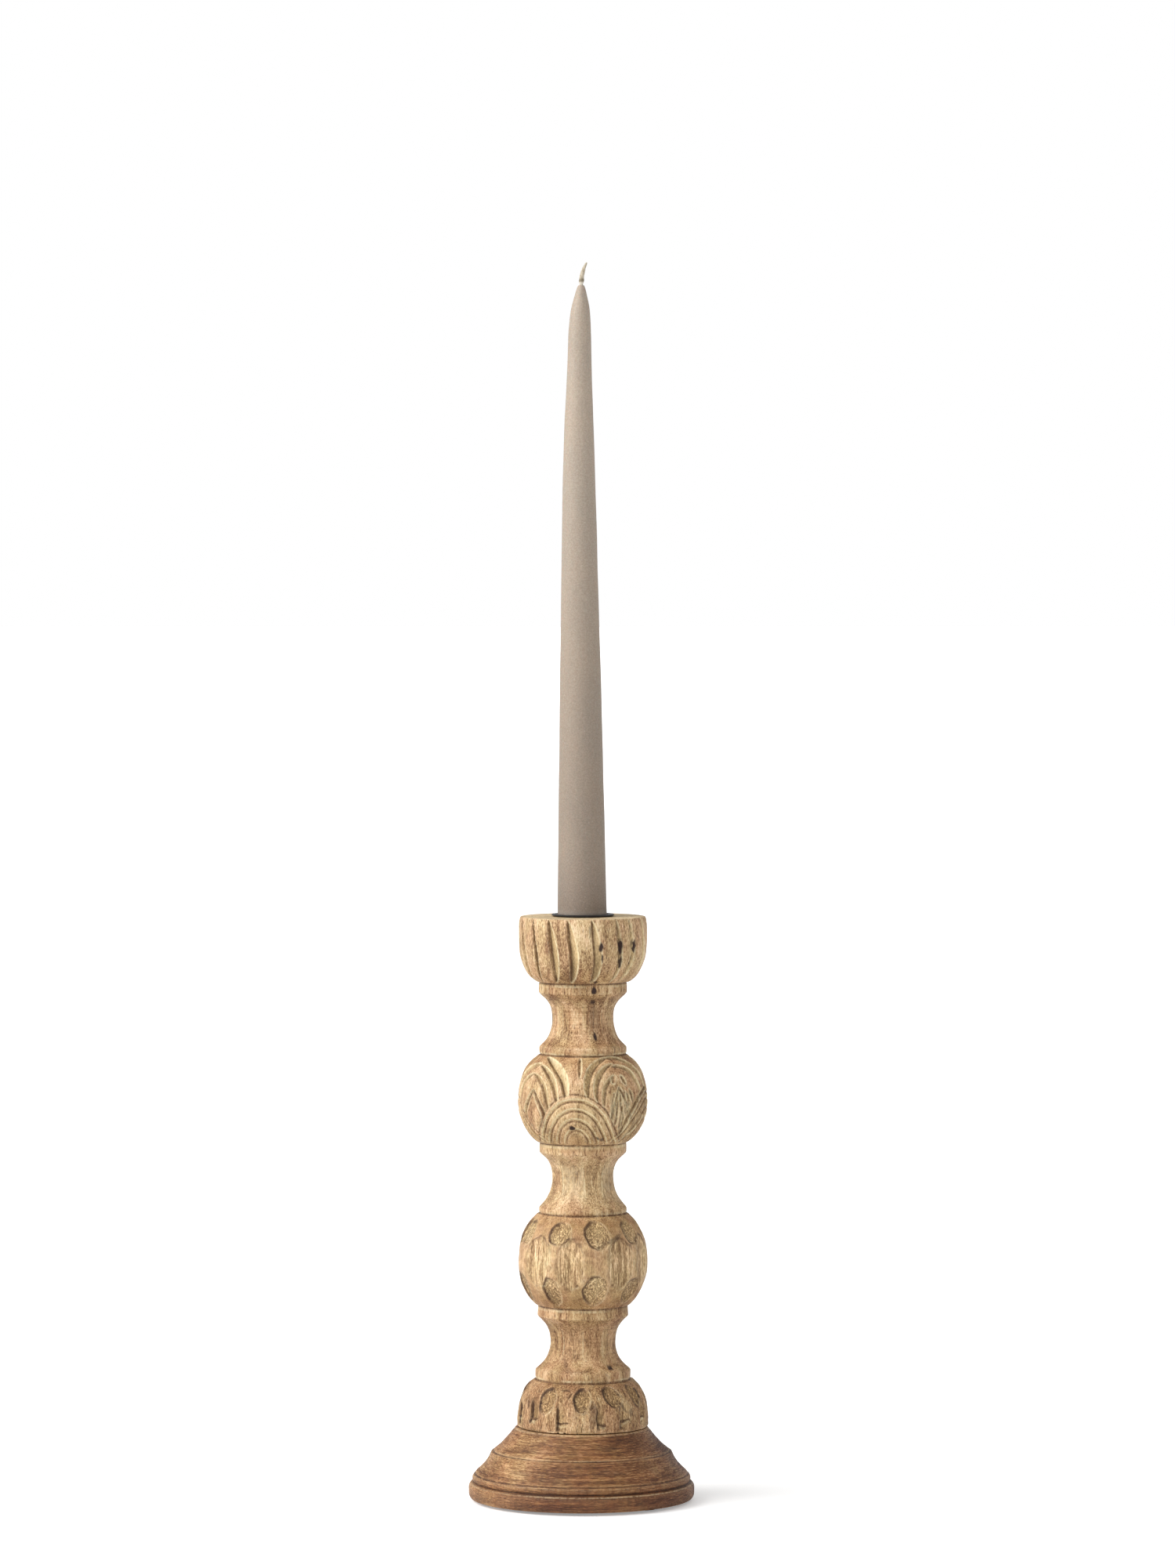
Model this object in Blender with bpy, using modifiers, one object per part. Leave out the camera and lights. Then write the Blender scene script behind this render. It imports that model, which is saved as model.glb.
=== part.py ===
"""Carved wooden candlestick holding a dipped taper candle.

It is built the way a turner makes it: a foot, a tall carved spindle whose tenon stands in the
foot, a pressed metal cup let into the spindle's top, a screw for each of the two joints, felt
pads under the foot, and a loose candle with its wick.  Every piece is an object of its own.
Units are metres, +Z is up, and the origin is on the table, under the middle of the foot.
"""

import math
from typing import NamedTuple

import bmesh
import bpy
from mathutils import Matrix, Vector

# Driving dimensions, in millimetres.  Heights are above the foot's underside.
MM = 0.001
TOUCH_GAP = 0.3  # left between pieces that rest on, or fit into, each other

FOOT_TOP = 31.9
COLUMN_BASE = FOOT_TOP + TOUCH_GAP
COLUMN_TOP = 260.9
CANDLE_TIP = 542.5
WICK_TIP = 552.3

PAD_THICKNESS = 1.0
PAD_RADIUS = 6.0
PAD_CIRCLE_RADIUS = 38.0
PAD_COUNT = 4

TENON_RADIUS = 10.0
TENON_LENGTH = 15.5

CANDLE_BUTT_RADIUS = 11.0
CUP_WALL = 0.8
CUP_DEPTH = 21.4
CUP_HOLE_RADIUS = 1.9
FLANGE_RADIUS = 14.05
FLANGE_THICKNESS = 0.8

CUP_SCREW_RADIUS = 1.5
CUP_SCREW_LENGTH = 16.0
CUP_SCREW_HEAD_RADIUS = 3.0
CUP_SCREW_HEAD_HEIGHT = 1.6

FOOT_SCREW_RADIUS = 2.5
FOOT_SCREW_LENGTH = 36.0
FOOT_SCREW_HEAD_RADIUS = 4.8
FOOT_SCREW_HEAD_HEIGHT = 2.6
COUNTERBORE_RADIUS = 6.5
COUNTERBORE_DEPTH = 4.5

WICK_RADIUS = 0.8
WICK_LEAN = 2.2  # how far the bare end bends over

# Sizes that follow from the driving ones.
FOOT_LIFT = PAD_THICKNESS + TOUCH_GAP  # the foot's underside, above the table
CUP_BORE_RADIUS = CANDLE_BUTT_RADIUS + TOUCH_GAP
CUP_RADIUS = CUP_BORE_RADIUS + CUP_WALL
CUP_TOP = COLUMN_TOP + TOUCH_GAP + FLANGE_THICKNESS
CUP_FLOOR = CUP_TOP - CUP_DEPTH
SOCKET_RADIUS = CUP_RADIUS + TOUCH_GAP
SOCKET_FLOOR = CUP_FLOOR - CUP_WALL - TOUCH_GAP
CUP_SCREW_HEAD_BASE = CUP_FLOOR + TOUCH_GAP
CANDLE_BASE = CUP_SCREW_HEAD_BASE + CUP_SCREW_HEAD_HEIGHT + TOUCH_GAP
TENON_BASE = COLUMN_BASE - TENON_LENGTH
MORTISE_RADIUS = TENON_RADIUS + TOUCH_GAP
MORTISE_FLOOR = TENON_BASE - TOUCH_GAP
FOOT_SCREW_HEAD_TOP = COUNTERBORE_DEPTH - TOUCH_GAP
WICK_CHANNEL_RADIUS = WICK_RADIUS + TOUCH_GAP

COLUMN_SIDES = 40
FOOT_SIDES = 40
CUP_SIDES = 28
CANDLE_SIDES = 24
SCREW_SIDES = 12
PAD_SIDES = 20


class Line(NamedTuple):
    """A straight stretch of an outline, to a radius and a height."""

    radius: float
    height: float


class Arc(NamedTuple):
    """A circular stretch of an outline, through one point to another."""

    through: tuple
    end: tuple
    steps: int


# The spindle's outer side, from the rim down to the bell's lower edge.
COLUMN_SIDE = (
    # bowl
    Line(27.6, COLUMN_TOP),
    Line(28.2, 260.2),
    Arc((28.7, 252.5), (28.1, 244.0), 2),
    Arc((25.5, 236.5), (20.0, 231.4), 4),
    # upper collar and upper neck
    Line(19.2, 231.0),
    Line(19.7, 230.5),
    Line(19.7, 227.2),
    Arc((15.2, 222.0), (13.8, 215.5), 4),
    Arc((15.2, 208.1), (19.2, 203.0), 4),
    # upper ball between its collars
    Line(19.5, 202.6),
    Line(19.5, 200.0),
    Line(19.2, 199.6),
    Arc((29.0, 179.6), (19.4, 159.3), 10),
    Line(19.4, 155.6),
    # middle neck
    Arc((15.1, 150.5), (13.7, 143.8), 4),
    Arc((15.0, 137.2), (19.3, 131.0), 4),
    # lower ball between its collars
    Line(19.6, 130.5),
    Line(19.6, 128.6),
    Line(19.3, 128.2),
    Arc((29.1, 107.0), (20.2, 86.0), 10),
    Line(20.4, 85.5),
    Line(20.4, 82.2),
    # lower neck
    Arc((16.3, 77.6), (14.7, 71.4), 4),
    Arc((15.8, 64.2), (21.0, 57.9), 4),
    Line(21.3, 57.4),
    Line(21.3, 54.2),
    # bell
    Line(20.9, 53.9),
    Arc((26.6, 48.4), (29.2, 37.0), 4),
    Line(29.2, COLUMN_BASE + 0.4),
    Line(28.8, COLUMN_BASE),
)

# The foot's outer side, from its flat top down to its underside.
FOOT_SIDE = (
    Line(29.7, FOOT_TOP),
    Line(30.1, 31.5),
    Arc((34.5, 25.9), (39.7, 20.8), 4),
    Line(40.5, 20.4),
    Arc((43.6, 15.4), (48.3, 10.2), 4),
    Line(48.9, 9.3),
    Line(49.0, 8.3),
    Line(48.4, 7.8),
    Line(49.4, 7.2),
    Arc((50.6, 3.6), (50.0, 0.5), 4),
    Line(49.4, 0.0),
)

# The candle's outer side, from its tip down to its butt.
CANDLE_SIDE = (
    Arc((3.4, CANDLE_TIP - 7.3), (4.9, CANDLE_TIP - 19.0), 6),
    Arc((8.45, CANDLE_TIP - 145.0), (CANDLE_BUTT_RADIUS, CUP_TOP), 8),
    Line(CANDLE_BUTT_RADIUS, CANDLE_BASE + 0.8),
    Line(CANDLE_BUTT_RADIUS - 0.8, CANDLE_BASE),
)


class GougeRow(NamedTuple):
    """A ring of equal gouge cuts around the spindle, each an ellipsoid."""

    name: str
    count: int
    first_angle: float  # degrees from the front, counter-clockwise from above
    height: float
    radius: float  # of the ellipsoids' centres, from the spindle's axis
    half_width: float
    half_height: float
    half_depth: float
    pitch: float = 0.0  # degrees that the cut faces upwards
    lean: float = 0.0  # degrees that the cut's top leans to the left


GOUGE_ROWS = (
    GougeRow("bowl_flutes", 18, -7.5, 246.5, 29.5, 3.0, 14.5, 2.6, -7.0, 7.0),
    GougeRow("ball_upper_ovals", 9, 14.0, 120.7, 27.3, 7.0, 9.0, 2.5, 33.0),
    GougeRow("ball_facets", 9, -12.0, 106.8, 31.1, 9.0, 22.0, 3.0),
    GougeRow("ball_lower_ovals", 9, 12.0, 93.3, 27.9, 7.0, 9.0, 2.5, -33.0),
    GougeRow("bell_ovals", 12, 0.0, 47.3, 28.7, 4.5, 7.0, 2.2, 18.0),
    GougeRow("bell_gouges", 12, 15.0, 38.4, 30.7, 4.0, 8.0, 2.2),
)


class Finish(NamedTuple):
    """Colour, roughness and metallic value of a material."""

    colour: tuple
    roughness: float
    metallic: float = 0.0


FINISHES = {
    "column_wood": Finish((0.58, 0.37, 0.18), 0.62),
    "foot_wood": Finish((0.33, 0.17, 0.07), 0.55),
    "cup_metal": Finish((0.012, 0.012, 0.013), 0.42, 0.8),
    "screw_steel": Finish((0.55, 0.55, 0.53), 0.35, 1.0),
    "felt": Finish((0.05, 0.04, 0.035), 0.95),
    "wax": Finish((0.36, 0.29, 0.22), 0.5),
    "wick_cotton": Finish((0.70, 0.60, 0.46), 0.9),
}


def clear_scene():
    """Remove every object that the open file holds."""
    for obj in list(bpy.data.objects):
        bpy.data.objects.remove(obj, do_unlink=True)


def new_collection(name):
    """Make a collection and link it to the scene."""
    collection = bpy.data.collections.new(name)
    bpy.context.scene.collection.children.link(collection)
    return collection


def new_material(name, finish):
    """Make a Principled material from a finish."""
    material = bpy.data.materials.new(name)
    material.use_nodes = True
    shader = material.node_tree.nodes["Principled BSDF"]
    shader.inputs["Base Color"].default_value = (*finish.colour, 1.0)
    shader.inputs["Roughness"].default_value = finish.roughness
    shader.inputs["Metallic"].default_value = finish.metallic
    return material


def new_empty(name, collection, height, parent=None):
    """Make an empty on the axis, at a height in millimetres above its parent."""
    empty = bpy.data.objects.new(name, None)
    empty.empty_display_size = 20.0 * MM
    empty.location.z = height * MM
    empty.parent = parent
    collection.objects.link(empty)
    return empty


def new_object(name, mesh, collection, material=None, parent=None):
    """Link a mesh to a collection as a named object."""
    obj = bpy.data.objects.new(name, mesh)
    obj.parent = parent
    if material is not None:
        mesh.materials.append(material)
    collection.objects.link(obj)
    return obj


def arc_points(start, arc):
    """Points along the circle from start through arc.through to arc.end, without the start."""
    a, b, c = Vector(start), Vector(arc.through), Vector(arc.end)
    ab, ac = b - a, c - a
    scale = 0.5 / (ab.x * ac.y - ab.y * ac.x)
    centre = a + Vector(
        (
            ac.y * ab.length_squared - ab.y * ac.length_squared,
            ab.x * ac.length_squared - ac.x * ab.length_squared,
        )
    ) * scale
    radius = (a - centre).length
    angles = [math.atan2(p.y - centre.y, p.x - centre.x) for p in (a, b, c)]
    turn = (angles[2] - angles[0]) % math.tau
    if (angles[1] - angles[0]) % math.tau > turn:
        turn -= math.tau
    points = []
    for step in range(1, arc.steps + 1):
        angle = angles[0] + turn * step / arc.steps
        points.append(
            (centre.x + radius * math.cos(angle), centre.y + radius * math.sin(angle))
        )
    return points


def outline_points(start, stretches):
    """Run an outline of lines and arcs from a start point, as (radius, height) pairs."""
    points = [start]
    for stretch in stretches:
        if isinstance(stretch, Arc):
            points += arc_points(points[-1], stretch)
        else:
            points.append((stretch.radius, stretch.height))
    return points


def turned(name, points, sides, collection, material=None, parent=None, closed=False):
    """Turn an outline around Z.

    The outline runs down its outer side.  It starts and ends on the axis, or is closed where
    the piece has a hole along the axis.
    """
    mesh = bpy.data.meshes.new(name)
    count = len(points)
    edges = [(i, i + 1) for i in range(count - 1)]
    if closed:
        edges.append((count - 1, 0))
    mesh.from_pydata([(r * MM, 0.0, z * MM) for r, z in points], edges, [])
    obj = new_object(name, mesh, collection, material, parent)
    screw = obj.modifiers.new("turn", "SCREW")
    screw.axis = "Z"
    screw.angle = math.tau
    screw.steps = sides
    screw.render_steps = sides
    screw.use_merge_vertices = True
    screw.merge_threshold = 0.00001
    return obj


def cut_away(obj, cutter):
    """Subtract a cutter from an object."""
    cutter.hide_render = True
    cutter.display_type = "WIRE"
    boolean = obj.modifiers.new(cutter.name, "BOOLEAN")
    boolean.operation = "DIFFERENCE"
    boolean.solver = "EXACT"
    boolean.object = cutter


def gouge_cutter(row, collection, parent):
    """One ring of ellipsoids that cut a row of gouge marks."""
    mesh = bpy.data.meshes.new(row.name)
    blank = bmesh.new()
    size = Matrix.Diagonal((row.half_width, row.half_depth, row.half_height, 1.0))
    lean = Matrix.Rotation(math.radians(row.lean), 4, "Y")
    pitch = Matrix.Rotation(math.radians(-row.pitch), 4, "X")
    out = Matrix.Translation((0.0, -row.radius, row.height))
    for number in range(row.count):
        angle = math.radians(row.first_angle) + math.tau * number / row.count
        around = Matrix.Rotation(angle, 4, "Z")
        bmesh.ops.create_uvsphere(
            blank,
            u_segments=10,
            v_segments=6,
            radius=1.0,
            matrix=Matrix.Scale(MM, 4) @ around @ out @ pitch @ lean @ size,
        )
    blank.to_mesh(mesh)
    blank.free()
    return new_object(row.name, mesh, collection, parent=parent)


def make_column(parts, cutters, material, parent):
    """The turned and gouged spindle, with its socket, its tenon and their pilot holes."""
    points = outline_points(
        (0.0, SOCKET_FLOOR),
        (Line(SOCKET_RADIUS, SOCKET_FLOOR), Line(SOCKET_RADIUS, COLUMN_TOP), *COLUMN_SIDE),
    )
    points += [
        (TENON_RADIUS, COLUMN_BASE),
        (TENON_RADIUS, TENON_BASE + 0.8),
        (TENON_RADIUS - 0.8, TENON_BASE),
        (0.0, TENON_BASE),
    ]
    column = turned("column", points, COLUMN_SIDES, parts, material, parent)
    for row in GOUGE_ROWS:
        cut_away(column, gouge_cutter(row, cutters, parent))

    cup_pilot_base = CUP_SCREW_HEAD_BASE - CUP_SCREW_LENGTH - 1.0
    cup_pilot = turned(
        "cup_screw_pilot",
        [
            (0.0, SOCKET_FLOOR + 1.0),
            (CUP_SCREW_RADIUS + TOUCH_GAP, SOCKET_FLOOR + 1.0),
            (CUP_SCREW_RADIUS + TOUCH_GAP, cup_pilot_base + 1.8),
            (0.0, cup_pilot_base),
        ],
        SCREW_SIDES,
        cutters,
        parent=parent,
    )
    cut_away(column, cup_pilot)

    foot_pilot_top = FOOT_SCREW_HEAD_TOP + FOOT_SCREW_LENGTH + 1.5
    foot_pilot = turned(
        "foot_screw_pilot",
        [
            (0.0, foot_pilot_top),
            (FOOT_SCREW_RADIUS + TOUCH_GAP, foot_pilot_top - 2.8),
            (FOOT_SCREW_RADIUS + TOUCH_GAP, TENON_BASE - 1.0),
            (0.0, TENON_BASE - 1.0),
        ],
        SCREW_SIDES,
        cutters,
        parent=parent,
    )
    cut_away(column, foot_pilot)
    return column


def make_foot(parts, material, parent):
    """The turned foot, bored for the tenon above and for the screw head below."""
    side = outline_points((MORTISE_RADIUS, FOOT_TOP), FOOT_SIDE)
    hole_radius = FOOT_SCREW_RADIUS + TOUCH_GAP
    bores = [
        (COUNTERBORE_RADIUS, 0.0),
        (COUNTERBORE_RADIUS, COUNTERBORE_DEPTH),
        (hole_radius, COUNTERBORE_DEPTH),
        (hole_radius, MORTISE_FLOOR),
        (MORTISE_RADIUS, MORTISE_FLOOR),
    ]
    return turned("foot", side + bores, FOOT_SIDES, parts, material, parent, closed=True)


def make_cup(parts, material, parent):
    """The pressed metal cup that takes the candle, with its flange and its screw hole."""
    bead = FLANGE_THICKNESS / 2
    points = outline_points(
        (CUP_BORE_RADIUS + 0.4, CUP_TOP),
        (
            Line(FLANGE_RADIUS - bead, CUP_TOP),
            Arc((FLANGE_RADIUS, CUP_TOP - bead), (FLANGE_RADIUS - bead, CUP_TOP - 2 * bead), 4),
            Line(CUP_RADIUS, CUP_TOP - FLANGE_THICKNESS),
            Line(CUP_RADIUS, CUP_FLOOR),
            Line(CUP_RADIUS - CUP_WALL, CUP_FLOOR - CUP_WALL),
            Line(CUP_HOLE_RADIUS, CUP_FLOOR - CUP_WALL),
            Line(CUP_HOLE_RADIUS, CUP_FLOOR),
            Line(CUP_BORE_RADIUS, CUP_FLOOR),
            Line(CUP_BORE_RADIUS, CUP_TOP - 0.4),
        ),
    )
    return turned("candle_cup", points, CUP_SIDES, parts, material, parent, closed=True)


def screw_points(shank_radius, length, head_radius, head_height):
    """Outline of a round-headed wood screw, point down, whose head sits on height zero."""
    pitch = shank_radius * 0.9
    root_radius = shank_radius * 0.72
    thread_top = -length * 0.3
    turns = int(length * 0.5 / pitch)
    points = outline_points(
        (0.0, head_height),
        (Arc((head_radius * 0.75, head_height * 0.72), (head_radius, 0.0), 4),),
    )
    points += [(shank_radius, 0.0), (shank_radius, thread_top), (root_radius, thread_top)]
    for turn in range(turns):
        crest = thread_top - pitch * (turn + 0.5)
        points += [(shank_radius, crest), (root_radius, crest - pitch / 2)]
    points.append((0.0, -length))
    return points


def make_screw(name, sizes, head_base, pointing_up, parts, cutters, material, parent):
    """A slotted wood screw on the axis, with its head's seat at the given height."""
    shank_radius, length, head_radius, head_height = sizes
    points = screw_points(shank_radius, length, head_radius, head_height)
    screw = turned(name, points, SCREW_SIDES, parts, material, parent)
    slot_mesh = bpy.data.meshes.new(name + "_slot")
    slot = bmesh.new()
    slot_size = (head_radius * 3.0, head_radius * 0.3, head_height * 0.8)
    bmesh.ops.create_cube(
        slot,
        size=MM,
        matrix=Matrix.Translation((0.0, 0.0, head_height * MM))
        @ Matrix.Diagonal((*slot_size, 1.0)),
    )
    slot.to_mesh(slot_mesh)
    slot.free()
    cutter = new_object(slot_mesh.name, slot_mesh, cutters, parent=parent)
    for obj in (screw, cutter):
        obj.location.z = head_base * MM
        if pointing_up:
            obj.rotation_euler.x = math.pi
    cut_away(screw, cutter)
    return screw


def make_pads(parts, material, parent):
    """The round felt pads glued under the foot."""
    for number in range(PAD_COUNT):
        angle = math.tau * (number + 0.5) / PAD_COUNT
        mesh = bpy.data.meshes.new("felt_pad_%d" % (number + 1))
        disc = bmesh.new()
        bmesh.ops.create_cone(
            disc,
            cap_ends=True,
            segments=PAD_SIDES,
            radius1=PAD_RADIUS * MM,
            radius2=PAD_RADIUS * MM,
            depth=PAD_THICKNESS * MM,
        )
        disc.to_mesh(mesh)
        disc.free()
        pad = new_object(mesh.name, mesh, parts, material, parent)
        pad.location = (
            PAD_CIRCLE_RADIUS * math.cos(angle) * MM,
            PAD_CIRCLE_RADIUS * math.sin(angle) * MM,
            -(TOUCH_GAP + PAD_THICKNESS / 2) * MM,
        )


def make_candle(parts, material, parent):
    """The dipped taper candle, with the channel that its wick runs through."""
    points = outline_points((WICK_CHANNEL_RADIUS, CANDLE_TIP), CANDLE_SIDE)
    points.append((WICK_CHANNEL_RADIUS, CANDLE_BASE))
    above_parent = [(r, z - CANDLE_BASE) for r, z in points]
    return turned("candle", above_parent, CANDLE_SIDES, parts, material, parent, closed=True)


def make_wick(parts, material, parent):
    """The wick, straight inside the wax and bent over at its bare end."""
    straight_top = CANDLE_TIP - CANDLE_BASE
    bare = WICK_TIP - CANDLE_TIP
    bend_steps = 8
    points = [(0.0, 0.0, 0.3), (0.0, 0.0, straight_top)]
    for step in range(1, bend_steps + 1):
        share = step / bend_steps
        points.append((WICK_LEAN * share**2, 0.0, straight_top + bare * share))
    curve = bpy.data.curves.new("wick", "CURVE")
    curve.dimensions = "3D"
    curve.bevel_depth = WICK_RADIUS * MM
    curve.bevel_resolution = 2
    curve.use_fill_caps = True
    spline = curve.splines.new("POLY")
    spline.points.add(len(points) - 1)
    for point, place in zip(spline.points, points):
        point.co = (*(value * MM for value in place), 1.0)
    return new_object("wick", curve, parts, material, parent)


def main():
    """Build the candlestick and its candle."""
    clear_scene()
    parts = new_collection("carved_wooden_candlestick")
    cutters = new_collection("cutters")
    finishes = {name: new_material(name, finish) for name, finish in FINISHES.items()}

    stand = new_empty("candlestick_underside", parts, FOOT_LIFT)
    make_foot(parts, finishes["foot_wood"], stand)
    make_column(parts, cutters, finishes["column_wood"], stand)
    make_cup(parts, finishes["cup_metal"], stand)
    make_screw(
        "cup_screw",
        (CUP_SCREW_RADIUS, CUP_SCREW_LENGTH, CUP_SCREW_HEAD_RADIUS, CUP_SCREW_HEAD_HEIGHT),
        CUP_SCREW_HEAD_BASE,
        False,
        parts,
        cutters,
        finishes["screw_steel"],
        stand,
    )
    make_screw(
        "foot_screw",
        (FOOT_SCREW_RADIUS, FOOT_SCREW_LENGTH, FOOT_SCREW_HEAD_RADIUS, FOOT_SCREW_HEAD_HEIGHT),
        FOOT_SCREW_HEAD_TOP,
        True,
        parts,
        cutters,
        finishes["screw_steel"],
        stand,
    )
    make_pads(parts, finishes["felt"], stand)

    candle_seat = new_empty("candle_seat", parts, CANDLE_BASE, stand)
    make_candle(parts, finishes["wax"], candle_seat)
    make_wick(parts, finishes["wick_cotton"], candle_seat)


main()
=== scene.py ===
"""Looks of a turned and hand-carved candlestick that holds a dipped taper candle.

Every piece is spun as a fine grid of points round the axis.  The grid follows a smooth turned
outline, carvings press into it, and what they leave behind (worn edges, stained grooves, torn
grain, knots), together with painted shadow and painted highlights beside the cuts, is stored on
the points as named marks, which the finishes read.  Lengths are millimetres until a mesh is
made.  Heights are above the foot's underside.  Angles are degrees round the axis, from the
front, positive to the right.
"""

import logging
import math
from dataclasses import dataclass, field, replace
from enum import Enum
from typing import Iterable, Sequence

import bpy
import numpy as np
from mathutils import Matrix, Vector


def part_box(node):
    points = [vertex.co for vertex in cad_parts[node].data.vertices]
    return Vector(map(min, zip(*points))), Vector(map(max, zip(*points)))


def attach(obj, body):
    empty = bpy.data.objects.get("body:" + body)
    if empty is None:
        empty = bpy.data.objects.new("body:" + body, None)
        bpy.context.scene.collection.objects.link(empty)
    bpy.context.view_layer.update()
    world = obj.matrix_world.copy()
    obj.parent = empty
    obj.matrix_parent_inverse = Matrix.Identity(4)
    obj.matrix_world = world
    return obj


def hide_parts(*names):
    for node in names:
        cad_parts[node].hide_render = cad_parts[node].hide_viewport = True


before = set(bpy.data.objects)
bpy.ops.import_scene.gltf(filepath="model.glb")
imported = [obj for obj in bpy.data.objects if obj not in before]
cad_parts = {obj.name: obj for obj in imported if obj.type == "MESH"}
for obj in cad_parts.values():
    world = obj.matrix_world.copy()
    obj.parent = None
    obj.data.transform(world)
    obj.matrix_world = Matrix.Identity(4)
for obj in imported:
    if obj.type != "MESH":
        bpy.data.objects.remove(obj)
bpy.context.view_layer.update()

LOG = logging.getLogger("candlestick")
MM = 0.001
TOUCH_GAP = 0.3  # left between pieces that rest on, or fit into, each other
NEARBY = 1.2  # radians round the piece that a cut may reach from its middle
FAR = 99.0  # mm, out of reach of any cut
MOTTLE_RADIUS = 25.0  # mm, at which the width of a mottled patch is given
SHARP_FROM = math.radians(38.0)  # edges are shaded sharp from this angle
STAND = "stand"
CANDLE = "candle"

Array = np.ndarray
Point = tuple[float, float]
Colour = tuple[float, float, float]
Leg = tuple[float | Point, ...]
Material = bpy.types.Material
Socket = bpy.types.NodeSocket


def node_heights(node: str) -> Point:
    """Find a CAD node's lowest and highest height, in mm above the foot's underside."""
    low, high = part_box(node)
    return (low.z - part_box("foot")[0].z) / MM, (high.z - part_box("foot")[0].z) / MM


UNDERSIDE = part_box("foot")[0].z / MM  # of the foot, above the table
FOOT_TOP = node_heights("foot")[1]
TENON_BASE, COLUMN_TOP = node_heights("column")
CANDLE_BASE, CANDLE_TIP = node_heights("candle")
CUP_TOP = node_heights("candle_cup")[1]


# ---- Turning ----


def limit(values: Array | float) -> Array:
    """Clip values to the range from 0 to 1."""
    return np.clip(values, 0.0, 1.0)


def wrapped(angle: Array | float) -> Array:
    """Bring angles into the range from -180 to 180 degrees."""
    return (np.asarray(angle, float) + 180.0) % 360.0 - 180.0


def bell(share: Array) -> Array:
    """Give 1 at zero, falling smoothly to 0 at one and beyond."""
    return limit(1.0 - np.asarray(share) ** 2) ** 2


def smooth_curve(points: Sequence[Point], fineness: float) -> Array:
    """Run a smooth curve through some points.

    Args:
        points: at least two points of a plane.
        fineness: distance between samples.

    Returns:
        The samples, one row each, the first and last point included.
    """
    knots = np.array(points, float)
    gaps = np.hypot(*np.diff(knots, axis=0).T)
    along = np.concatenate([[0.0], np.cumsum(gaps)])
    count = max(2, int(math.ceil(along[-1] / fineness)) + 1)
    if len(knots) == 2:
        return np.linspace(knots[0], knots[1], count)
    slopes = np.diff(knots, axis=0) / gaps[:, None]
    share = (gaps[1:] / (gaps[:-1] + gaps[1:]))[:, None]
    inner = slopes[:-1] * share + slopes[1:] * (1.0 - share)
    first = 1.5 * slopes[0] - 0.5 * inner[0]
    last = 1.5 * slopes[-1] - 0.5 * inner[-1]
    tangents = np.vstack([first, inner, last])
    where = np.linspace(0.0, along[-1], count)
    span = np.clip(np.searchsorted(along, where, side="right") - 1, 0, len(gaps) - 1)
    gap = gaps[span][:, None]
    t = ((where - along[span]) / gaps[span])[:, None]
    return (
        (2 * t**3 - 3 * t**2 + 1) * knots[span]
        + (t**3 - 2 * t**2 + t) * gap * tangents[span]
        + (3 * t**2 - 2 * t**3) * knots[span + 1]
        + (t**3 - t**2) * gap * tangents[span + 1]
    )


def blurred(values: Array, width: float) -> Array:
    """Smooth a row of values with a bell-shaped window, keeping both ends.

    Args:
        values: the values, evenly spaced.
        width: half-width of the window, in samples.

    Returns:
        The smoothed values.
    """
    reach = max(1, int(3 * width))
    window = np.exp(-0.5 * (np.arange(-reach, reach + 1) / width) ** 2)
    window /= window.sum()
    head = 2 * values[0] - values[reach:0:-1]
    tail = 2 * values[-1] - values[-2 : -reach - 2 : -1]
    return np.convolve(np.concatenate([head, values, tail]), window, mode="valid")


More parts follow.
